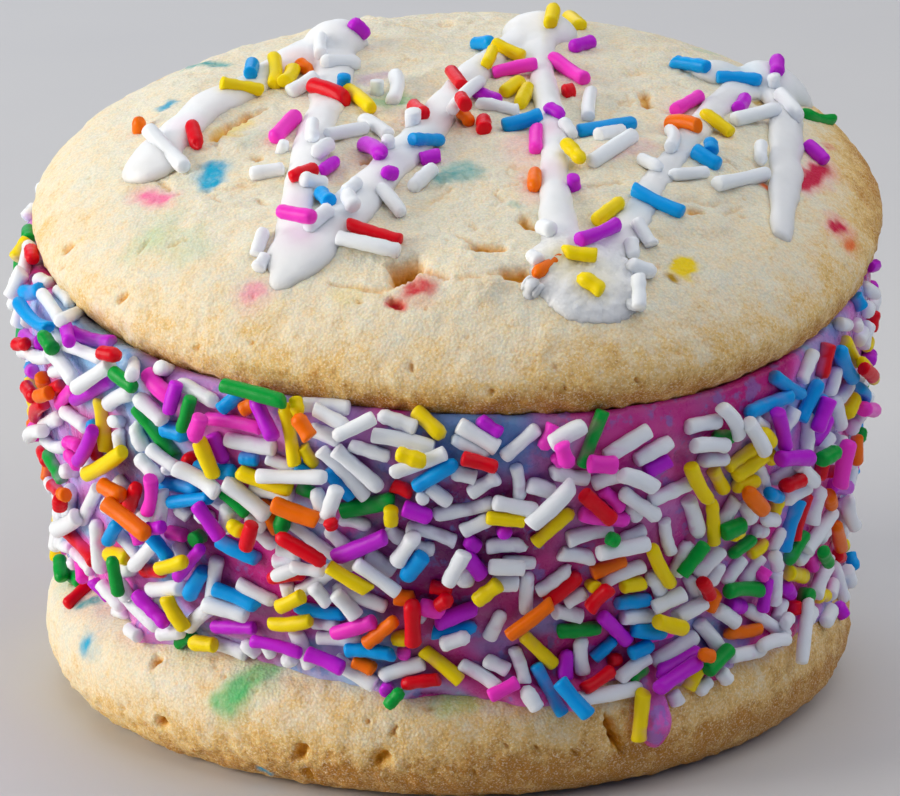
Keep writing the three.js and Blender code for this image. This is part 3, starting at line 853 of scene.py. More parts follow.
swirlColours = {
    "skyBlue": linear(146, 208, 240), "lavender": linear(196, 152, 224), "pink": linear(232, 112, 198),
    "magenta": linear(198, 8, 122), "plum": linear(104, 6, 98), "teal": linear(50, 140, 196),
    "rose": linear(218, 40, 146), "orchid": linear(222, 104, 204),
    # wine is painted shade on the front middle
    "shadeWine": linear(138, 2, 92),
}


def edgeReach(angles):
    degrees = np.degrees(angles)
    reach = np.full(len(angles), iceCream["hang"])
    for at, further, spread in meltedEdge:
        away = (degrees - at + 180) % 360 - 180
        reach += further * np.exp(-(away / spread) ** 2)
    return reach


def offBottomCookie(angles, lengths, out):
    # a point off the bottom cookie's surface: by angle, and by length along it from the crown
    curve, reached = sectionCurve(bottomCookie)
    curve, reached = curve[::-1], (reached[-1] - reached)[::-1]
    step = 0.05
    radius, height = (np.interp(lengths, reached, curve[:, axis]) for axis in range(2))
    nextRadius, nextHeight = (np.interp(lengths + step, reached, curve[:, axis]) for axis in range(2))
    wide, high = nextRadius - radius, nextHeight - height
    size = np.hypot(wide, high)
    uneven = (radius - high / size * out) * outlineFactor(bottomCookie, angles)
    return np.stack([uneven * np.cos(angles), uneven * np.sin(angles),
                     height + wide / size * out + bottomCookie["edgeHeight"]], axis=1)


def wallPoint(angles, part):
    plain = blendTo(iceCream["bottomRadius"], iceCream["topRadius"], part)
    bulged = plain + iceCream["belly"] * math.sin(part * math.pi)
    shape = blendTo(outlineFactor(bottomCookie, angles), outlineFactor(topCookie, angles), part * 0.7)
    x, y = (blendTo(iceCream["bottomCentre"][axis], iceCream["topCentre"][axis], part) for axis in range(2))
    return np.stack([x + bulged * shape * np.cos(angles), y + bulged * shape * np.sin(angles),
                     np.zeros(len(angles))], axis=1)


def ceilingHeight(y):
    tilt = math.radians(topCookie["tilt"])
    underside = topCookie["place"][2] - topCookie["edgeHeight"] / math.cos(tilt)
    return underside + (y - topCookie["place"][1]) * math.tan(tilt) - iceCream["gap"] / math.cos(tilt)


def wedgeUnder(points):
    # how far the top cookie's rounded edge lifts off here, and leaves room that soft ice cream fills
    local = toCookie(topCookie, points)
    reach = np.hypot(local[:, 0], local[:, 1])
    reach = reach / outlineFactor(topCookie, np.arctan2(local[:, 1], local[:, 0]))
    part = (reach - topCookie["flatRadius"]) / (topCookie["radius"] - topCookie["flatRadius"])
    return topCookie["edgeHeight"] * (1 - np.sqrt(1 - np.clip(part, 0, 0.86) ** 2))


def iceCreamBody():
    stops = [("under", part) for part in (0.3, 0.6, 0.8, 0.9, 0.95, 1.0)]
    stops += [("lip", (0.0, 0.7)), ("lip", (0.4, 1.2)), ("lip", (1.0, 1.6))]     # how far back, how thick
    stops += [("wall", part) for part in np.linspace(0, 1, 24)]
    stops += [("roof", inset) for inset in (0.25, 0.6, 1.1, 1.7, 2.6, 4.0, 6.0, 20.0)]

    def pointAt(stop, angles):
        kind, value = stop
        reach = edgeReach(angles)
        if kind == "under":
            return offBottomCookie(angles, reach * value, -iceCream["sunk"])
        if kind == "lip":
            back, thickness = value
            lengths = blendTo(reach, np.minimum(reach, iceCream["hang"]), back) - 0.2
            return offBottomCookie(angles, lengths, thickness)
        if kind == "wall":
            points = wallPoint(angles, value)
            foot = offBottomCookie(np.zeros(1), np.array([iceCream["hang"]]), 0)[0, 2] + iceCream["foot"]
            points[:, 2] = blendTo(foot, ceilingHeight(points[:, 1]) - iceCream["tuck"], value)
            return points
        points = wallPoint(angles, 1)
        points *= 1 - value / np.linalg.norm(points, axis=1, keepdims=True)
        rise = np.interp(value, [0, 0.6, 4.0, 6.0], [-iceCream["tuck"], 0.2, 0.1, 0.0])
        points[:, 2] = ceilingHeight(points[:, 1]) + rise
        points[:, 2] += wedgeUnder(points) * np.interp(value, [0, 0.25, 0.6, 1.1], [0.3, 0.6, 0.85, 1.0])
        return points

    return ringBody(stops, [iceCream["around"]] * len(stops), pointAt)


def dripBody(at, start, stop, width, thickness):
    sections, around = 30, 16
    swing = np.arange(around) / around * 2 * math.pi
    rings = []
    for section in range(sections + 1):
        part = section / sections
        ending = max(0.0, (part - 0.72) / 0.28)         # its round end, and its wide start under the edge
        starting = max(0.0, 1 - part / 0.25)
        taper = math.sqrt(max(0.02, 1 - 0.96 * ending ** 2))
        wide = width * taper * (1 + 0.8 * starting ** 2 + 0.12 * math.sin(part * 9 + at))
        bead = thickness * (0.75 + 0.45 * smoothStep(0.45, 0.85, part)) * taper
        angles = math.radians(at) - np.cos(swing) * wide / 2 / bottomCookie["radius"]
        out = np.where(np.sin(swing) > 0, np.sin(swing) * bead, np.sin(swing) * 0.8)
        lengths = np.full(around, blendTo(start, stop, part))
        rings.append(offBottomCookie(angles, lengths, out))
    return capped(rings), tubeTriangles(around, len(rings))


def iceCreamMaterial():
    material, tree, shader, where = newMaterial("iceCreamSwirl", iceCream["shader"])
    swirl = stored(tree, "swirl")["Color"]
    melt = groupNode(tree, mottleGroup, where, iceCream["melt"])["Mask"]
    pale = mixColour(tree, iceCream["paleShare"], swirl, iceCream["pale"])
    threads = groupNode(tree, mottleGroup, where, iceCream["threads"])["Mask"]
    thread = mapped(tree, threads, (0.66, 0.88), (0.0, iceCream["threadShare"]))
    base = mixColour(tree, thread, mixColour(tree, melt, swirl, pale), iceCream["thread"])
    tree.links.new(base, shader.inputs["Base Color"])
    tree.links.new(mapped(tree, melt, (0.0, 1.0), iceCream["roughness"]), shader.inputs["Roughness"])
    grain = groupNode(tree, grainGroup, where, iceCream["grain"])["Height"]
    bumpFrom(tree, shader, grain, *iceCream["bump"])
    return material


def swirlAt(points, tree):
    # the colour bands, bent by noise, then the patches that lie on them
    ramp = np.array([swirlColours[name][:3] for name in swirlOrder])
    bend = np.stack([noiseFrom(points, iceCream["bend"], axis) for axis in range(3)], axis=1)
    bands = 0.5 + noiseFrom(points * (1, 1, 1.3) + iceCream["bandBend"] * bend, iceCream["bands"])
    place = np.clip(bands, 0, 1) * (len(ramp) - 1)
    colour = np.stack([np.interp(place, np.arange(len(ramp)), ramp[:, axis]) for axis in range(3)], axis=1)
    for number, (px, py, radius, name, strength) in enumerate(swirlPatches):
        found = castPixel([tree], px, py)
        if found is None:
            continue
        distance = np.linalg.norm(points + iceCream["patchBend"] * bend - found[0], axis=1)
        mask = smoothStep(1.25, 0.35, distance / radius + noiseFrom(points, iceCream["frayed"], number))
        colour = blendTo(colour, np.array(swirlColours[name][:3]), (mask * strength)[:, None])
    return np.concatenate([colour, np.ones((len(points), 1))], axis=1)


def makeIceCream():
    parts = [iceCreamBody()] + [dripBody(*drip) for drip in drips]
    points, triangles = remeshed(*joinArrays(parts), iceCream["voxel"])
    relief = noiseFrom(points, iceCream["waves"]) + noiseFrom(points, iceCream["ripples"])
    pocked = smoothStep(-0.1, 0.3, noiseFrom(points, iceCream["pocked"]))
    relief -= iceCream["pockDepth"] * (smoothStep(0.25, 0.6, noiseFrom(points, iceCream["pocks"])) * pocked)
    below = ceilingHeight(points[:, 1]) - points[:, 2]
    relief *= smoothStep(0.8, 3.2, below) * 0.8 + 0.2              # calm under the top cookie
    points = points + vertexNormals(points, triangles) * relief[:, None]
    piece = meshPiece("ice_cream", points, triangles, iceCreamMaterial())
    swirl = swirlAt(points, surfaceTree(piece))
    store(piece, "swirl", swirl)
    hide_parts("ice_cream")
    print("ice cream made,", len(triangles), "triangles")
    return piece, points, swirl


# icing

icing = {
    "heights": [1.4, 1.4, 1.4, 1.35, 0.85, 1.3],     # of each stroke, where it is as wide as usualWidth
    "usualWidth": 4.0, "sunk": 0.7, "edge": 0.8, "voxel": 0.3,
    # amount, in mm where it's relief, size in mm, layers, seed; lumps and grains where sugar has set
    "wobbles": (0.12, 3.5, 2, 41), "ripples": (0.03, 0.9, 2, 42),
    "lumps": (0.3, 1.3, 2, 43), "grains": (0.18, 0.6, 1, 44),
    "strokeWidths": (0.16, 5, 2, 0), "wander": (0.25, 6, 1, 0),
    "strokes": [  # from turn to turn on the top cookie: across, towards the back, width
        [(-30.2, -9.0, 5.2), (-25.5, -0.1, 4.9), (-20.2, 7.6, 4.9), (-14.6, 16.6, 5.2)],
        [(-12.9, 15.7, 4.6), (-13.1, 1.7, 3.9), (-14.1, -6.0, 3.7), (-14.8, -13.1, 3.7), (-15.6, -21.1, 3.4),
         (-15.4, -28.0, 4.0)],
        [(-14.6, -29.0, 4.2), (-11.4, -25.6, 4.8), (-9.0, -20.6, 4.4), (-6.5, -14.6, 4.0), (-3.6, -6.8, 3.8),
         (0.6, 6.9, 3.5), (6.5, 20.0, 4.3)],
        [(8.0, 20.6, 4.4), (7.5, 12.9, 2.9), (8.0, 4.3, 2.7), (8.5, -8.9, 2.8), (8.4, -18.2, 2.9),
         (8.6, -25.9, 3.5), (9.2, -31.5, 4.2)],
        [(11.2, -34.0, 4.2), (13.5, -29.9, 3.7), (16.3, -23.8, 3.3), (18.7, -15.6, 3.0), (21.2, -8.2, 2.9),
         (25.8, 5.2, 3.2), (29.5, 12.0, 4.2)],
        [(31.4, 12.0, 4.0), (31.7, 3.9, 3.6), (31.0, -6.7, 3.4), (30.5, -13.0, 3.2), (30.2, -15.8, 2.6),
         (29.8, -20.0, 2.3), (29.6, -22.0, 1.8)],
    ],
    "turns": [  # across, towards the back, radius, height
        (-29.9, -8.8, 3.2, 1.7), (-12.9, 16.6, 3.6, 3.2), (-14.9, -29.6, 3.5, 1.6), (-16.5, -32.3, 1.5, 0.9),
        (8.0, 20.8, 3.7, 2.6), (10.3, -34.2, 4.7, 1.5), (11.9, -34.3, 4.5, 1.5), (11.2, -35.2, 3.4, 1.5),
        (31.2, 13.2, 3.9, 3.0), (26.0, 12.6, 3.3, 1.7),
    ],
    "sugary": (11.2, -34.4, 5.4),    # where sugar has set in grains: across, towards the back, reach
    "stains": [  # a pixel on it, radius in mm, colour, strength: where a sprinkle's colour has run
        (372, 112, 1.6, "yellow", 0.35), (240, 96, 2.4, "yellow", 0.3), (285, 84, 2.2, "yellow", 0.45),
        (300, 70, 1.6, "orange", 0.3), (310, 85, 1.4, "red", 0.12), (288, 138, 1.2, "orange", 0.25),
        (284, 130, 1.4, "pink", 0.22), (545, 138, 1.3, "pink", 0.3), (545, 178, 1.4, "pink", 0.22),
        (566, 270, 2.0, "yellow", 0.35), (592, 286, 1.9, "yellow", 0.22), (425, 146, 1.7, "blue", 0.14),
        (634, 205, 1.8, "blue", 0.2), (742, 86, 2.0, "blue", 0.2), (694, 146, 1.4, "blue", 0.18),
        (190, 136, 1.3, "pink", 0.2), (300, 214, 1.8, "pink", 0.2), (395, 172, 1.2, "lilac", 0.25),
    ],
    "patches": {"Size mm": 4.0, "Contrast": 1.4,
                "Pale": linear(248, 252, 255), "Deep": linear(239, 245, 249)},
    "grain": {"Size mm": 0.35, "Coarse Share": 0.5}, "roughness": (0.3, 0.55), "bump": (0.08, 0.5),
    "sugarGrain": {"Size mm": 0.42, "Coarse Share": 0.3, "Granules": 0.8}, "sugarShare": 3.5,
    "shader": {"Subsurface Weight": 0.85, "Subsurface Radius": (0.95, 0.97, 1.0),
               "Subsurface Scale": 2.0 * mm},
}


def splinePoints(stops, count):
    # a smooth curve through all stops
    stops = np.array(stops, dtype=float)
    padded = np.concatenate([[2 * stops[0] - stops[1]], stops, [2 * stops[-1] - stops[-2]]])
    places = np.linspace(0, len(stops) - 1, count)
    index = np.minimum(places.astype(int), len(stops) - 2)
    t = (places - index)[:, None]
    a, b, c, d = (padded[index + shift] for shift in range(4))
    square, cube = 2 * a - 5 * b + 4 * c - d, 3 * b - a - 3 * c + d
    return 0.5 * (2 * b + (c - a) * t + square * t ** 2 + cube * t ** 3)


def onTopCookie(x, y, height):
    return np.stack([x, y, domeHeight(topCookie, x, y) + height], axis=1)


def strokeBody(stroke, tallest, seed):
    rings, around = 70, 20
    path = splinePoints(stroke, rings)
    spots = np.concatenate([path[:, :2], np.zeros((rings, 1))], axis=1)
    widths = path[:, 2] * (1 + noiseFrom(spots, icing["strokeWidths"], seed))
    shift = np.stack([noiseFrom(spots, icing["wander"], seed + number) for number in (1, 2)], axis=1)
    path = path[:, :2] + shift
    ahead = np.gradient(path, axis=0)
    ahead /= np.linalg.norm(ahead, axis=1, keepdims=True)
    side = np.stack([ahead[:, 1], -ahead[:, 0]], axis=1)
    swing = np.arange(around) / around * 2 * math.pi
    reach = np.sign(np.cos(swing)) * np.abs(np.cos(swing)) ** 0.8
    points = []
    for spot, across, width in zip(path, side, widths):
        height = tallest * math.sqrt(width / icing["usualWidth"])
        places = spot + reach[:, None] * across * width / 2
        rise = np.maximum(np.sin(swing), 0) * height + np.minimum(np.sin(swing), 0) * icing["sunk"]
        points.append(onTopCookie(places[:, 0], places[:, 1], rise))
    return capped(points), tubeTriangles(around, rings)


def turnBody(x, y, radius, height, seed):
    polar = 0.08                                  # at its poles, in radians
    swings = np.linspace(polar, math.pi - polar, 18)
    stops = [(radius * math.sin(swing), -math.cos(swing)) for swing in swings]

    def pointAt(stop, angles):
        reach, rise = stop
        uneven = reach * (1 + 0.07 * np.sin(2 * angles + seed) + 0.05 * np.sin(3 * angles + 2 * seed))
        px, py = x + uneven * np.cos(angles), y + uneven * np.sin(angles)
        return onTopCookie(px, py, np.full(len(angles), rise * (height if rise > 0 else icing["sunk"])))

    return ringBody(stops, ringCounts(stops, [icing["edge"]] * len(stops)), pointAt)


def icingMaterial():
    material, tree, shader, where = newMaterial("pipedIcing", icing["shader"])
    patches = groupNode(tree, mottleGroup, where, icing["patches"])["Color"]
    tint = stored(tree, "tint")
    stained = mixColour(tree, tint["Alpha"], patches, tint["Color"])
    faded = mixColour(tree, stored(tree, "thin")["Fac"], stained, crust["pale"])     # crust shows through
    tree.links.new(faded, shader.inputs["Base Color"])
    grain = groupNode(tree, grainGroup, where, icing["grain"])["Height"]
    tree.links.new(mapped(tree, grain, (0.0, 1.0), icing["roughness"]), shader.inputs["Roughness"])
    sugarGrain = groupNode(tree, grainGroup, where, icing["sugarGrain"])["Height"]
    share = calculated(tree, "MULTIPLY", stored(tree, "sugary")["Fac"], icing["sugarShare"])
    bumpFrom(tree, shader, calculated(tree, "MULTIPLY_ADD", sugarGrain, share, grain), *icing["bump"])
    return material


def makeIcing():
    parts = [strokeBody(stroke, tallest, 200 + 7 * number)
             for number, (stroke, tallest) in enumerate(zip(icing["strokes"], icing["heights"]))]
    parts += [turnBody(*turn, 300 + number) for number, turn in enumerate(icing["turns"])]
    local, triangles = joinArrays(parts)
    points, triangles = remeshed(toWorld(topCookie, local), triangles, icing["voxel"])
    relief = noiseFrom(points, icing["wobbles"]) + noiseFrom(points, icing["ripples"])
    local = toCookie(topCookie, points)
    height = local[:, 2] - domeHeight(topCookie, local[:, 0], local[:, 1])
    x, y, reach = icing["sugary"]
    sugary = smoothStep(1.2, 0.7, np.hypot(local[:, 0] - x, local[:, 1] - y) / reach)
    relief += sugary * (np.abs(noiseFrom(points, icing["lumps"])) + noiseFrom(points, icing["grains"]))
    points = points + vertexNormals(points, triangles) * relief[:, None]
    piece = meshPiece("icing", points, triangles, icingMaterial())
    store(piece, "thin", 0.5 * smoothStep(0.85, 0.05, height) * (1 - 0.7 * sugary))
    store(piece, "sugary", sugary)
    tint = np.zeros((len(points), 4))
    for px, py, radius, colour, strength in icing["stains"]:
        spot = onTopDome(px, py)
        if spot is None:
            continue
        away = np.linalg.norm(points - toWorld(topCookie, spot[None])[0], axis=1)
        mask = smoothStep(1.5, 0.3, away / (radius + 1.0)) * strength
        tint[:, :3] = blendTo(tint[:, :3], np.array(tintColours[colour][:3]), (mask > 0)[:, None])
        tint[:, 3] = np.maximum(tint[:, 3], mask)
    store(piece, "tint", tint)
    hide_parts("icing")
    print("icing made,", len(triangles), "triangles")
    return piece


# sprinkles

sprinkle = {
    "topRadius": (0.68, 0.8), "sideRadius": (0.66, 0.83), "length": (2.3, 6.4),
    "longest": 7.4,                       # of one placed by its pixels, which may run away from the eye
    "plain": (9, 3), "fine": (12, 10),    # sides and rings of most, and of ribbed and listed ones
    "fineShare": 0.05, "ribbedShare": 0.3, "ribDepth": 0.1,     # of the scattered ones, and of the fine ones
    "roundings": (0.25, 0.4, 0.6, 0.9),   # of the ends, as parts of the radius, and how common each is
    "roundingShares": (0.25, 0.35, 0.25, 0.15), "slant": 0.2, "bend": 0.035, "waist": 0.07,
    "embed": 0.35,                        # how deep one lies in what carries it, as a part of its radius
    "lift": 0.22,                         # step in which one is raised until it rests on the others
    "topTips": 2.2, "sideTips": 0.0,      # how many pixels before the tips the axis ends
    "topGirth": 0.82, "sunkenGirth": 0.2, "sideGirth": 0.68,    # part of the radius that keeps others off
    "overlap": 0.15,                      # part of the radius that may still lie in another
    "standing": (0.8, 0.7),               # how far one on end reaches into and out of what carries it
    "firstTries": 8000, "firstLayer": 430,        # on the ice cream's back and sides, none on another
    "laterTries": 20000, "wanted": 1060,          # then some on top of others
    "gapFill": 90, "gapMargin": 0.25,             # on its front, in gaps at least this wide
    "gapLength": 0.6, "gapWhite": 0.7,            # of their length elsewhere, and the share that is white
    "maxLift": 1.5,                       # how far one may lie on others
    "lowest": 10.0, "wallRadius": 42,     # of the ice cream: above the floor, and near enough all round
    "rimBand": 4, "shoulderBand": 5,      # how far below its top edge these begin
    "shoulderShare": 0.5, "shoulderInset": (0.5, 4.5),    # how many lie on the shoulder, and how far in
    "steepest": 0.3,                      # cosine between the wall's outside and straight outwards
    "frontFrom": 0.12, "besideFrom": -0.4,        # cosines to the eye: the front, and what shows as outline
    "bald": (6.0, 0.48, 0.7),             # size in mm, threshold and emptiness of thinly covered places
    "bareShare": 0.93, "spreadShare": 0.4,        # how many are left out of bare patches, and on others
    "tiltSpread": 0.12, "lengthShape": (1.5, 1.9),
    "bodyGirth": 0.86, "bodyOverlap": 0.1, "cookieGirth": 0.75,      # parts of the radius, as above
    "besideSunk": 0.3, "reachDown": 2.6,  # how much deeper outline ones lie, and reach below lowest
    "cookieBelow": 2.5, "cookieFrom": 15,         # from the top edge and the floor: cookies may be near
    "wear": {"Size mm": 0.7, "Contrast": 1.8}, "dust": 0.25, "darkest": 0.74, "eachDarker": 0.3,
    "grain": {"Size mm": 0.22, "Coarse Share": 0.4}, "roughness": (0.22, 0.5), "bump": (0.06, 0.6),
    "shader": {"Specular IOR Level": 0.2, "Subsurface Radius": (1.0, 1.0, 1.0),
               "Subsurface Scale": 1.0 * mm},
    "glow": 0.4, "whiteGlow": 0.8,        # subsurface weight
    "film": 0.3, "whiteFilm": 0.45,       # how much of the melted film shows
    "filmReach": 2.2, "filmNoise": (0.7, 1.6, 2, 61),
}

sprinkleColours = {
    "white": (linear(238, 244, 255), 0.53), "blue": (linear(0, 162, 238), 0.09),
    "yellow": (linear(255, 222, 0), 0.09), "purple": (linear(200, 32, 216), 0.09),
    "pink": (linear(255, 58, 204), 0.065), "red": (linear(228, 2, 28), 0.055),
    "green": (linear(0, 162, 60), 0.045), "orange": (linear(255, 118, 0), 0.035),
}

topSprinkles = {  # the pixels of each one's two ends
    "purple": [
        (352, 22, 366, 36), (363, 144, 383, 156), (422, 159, 439, 155), (383, 172, 395, 174),
        (320, 172, 336, 161), (572, 47, 592, 42), (476, 92, 498, 100), (546, 106, 563, 116),
        (579, 240, 617, 224), (779, 56, 777, 73), (746, 96, 737, 109), (807, 144, 825, 161)],
    "white": [
        (321, 36, 321, 55), (323, 62, 359, 63), (148, 129, 184, 167), (290, 92, 316, 76),
        (395, 73, 392, 102), (313, 120, 313, 139), (316, 153, 330, 144), (327, 135, 366, 128),
        (363, 119, 388, 135), (251, 174, 283, 169), (303, 179, 323, 184), (357, 182, 346, 191),
        (346, 192, 354, 207), (433, 169, 413, 187), (380, 187, 402, 214), (307, 227, 329, 210),
        (339, 238, 398, 251), (264, 230, 256, 254), (266, 257, 258, 268), (482, 80, 451, 111),
        (477, 103, 518, 111), (562, 120, 573, 136), (591, 90, 588, 118), (598, 135, 622, 131),
        (589, 164, 635, 134), (637, 221, 652, 244), (631, 241, 634, 257), (629, 264, 654, 273),
        (530, 254, 539, 261), (540, 226, 552, 230), (628, 304, 642, 304), (638, 276, 639, 306),
        (734, 120, 779, 108), (779, 93, 799, 118), (670, 129, 670, 149), (641, 159, 661, 167),
        (671, 175, 706, 172), (717, 184, 766, 174), (761, 144, 761, 162), (527, 283, 538, 291)],
    "red": [
        (191, 123, 197, 146), (310, 85, 346, 99), (412, 105, 425, 115), (291, 177, 314, 169),
        (349, 224, 400, 240), (450, 69, 463, 86), (483, 118, 484, 130), (565, 92, 572, 90),
        (460, 96, 466, 106)],
    "blue": [
        (253, 62, 250, 75), (412, 139, 441, 140), (319, 191, 330, 202), (474, 44, 492, 42),
        (504, 126, 540, 115), (579, 131, 634, 123), (634, 189, 682, 212), (674, 62, 707, 67),
        (718, 77, 760, 80), (710, 141, 711, 152), (695, 151, 718, 165)],
    "yellow": [
        (274, 56, 274, 86), (283, 82, 293, 67), (222, 83, 261, 90), (347, 89, 372, 109),
        (554, 7, 550, 24), (566, 14, 582, 27), (494, 44, 522, 57), (486, 65, 493, 49),
        (503, 93, 521, 80), (530, 85, 519, 106), (565, 142, 582, 161), (596, 221, 622, 201),
        (565, 251, 595, 255), (579, 277, 601, 291), (703, 112, 731, 133)],
    "orange": [
        (298, 63, 311, 72), (461, 113, 470, 123), (535, 171, 534, 189),
        (668, 123, 698, 126)],
    "pink": [
        (297, 115, 274, 139), (280, 211, 313, 217), (494, 73, 536, 64), (552, 57, 585, 79),
        (537, 126, 536, 151), (675, 110, 700, 96)],
    "green": [(803, 113, 833, 120)],
}

sunkenSprinkles = [("orange", (535, 274, 562, 259))]    # these lie in the icing

standingSprinkles = {  # the pixel of the end that shows
    "purple": [(574, 184)], "white": [(377, 90), (281, 148), (388, 144), (413, 120), (530, 288), (775, 82)],
    "orange": [(140, 126)], "blue": [(343, 83)],
}

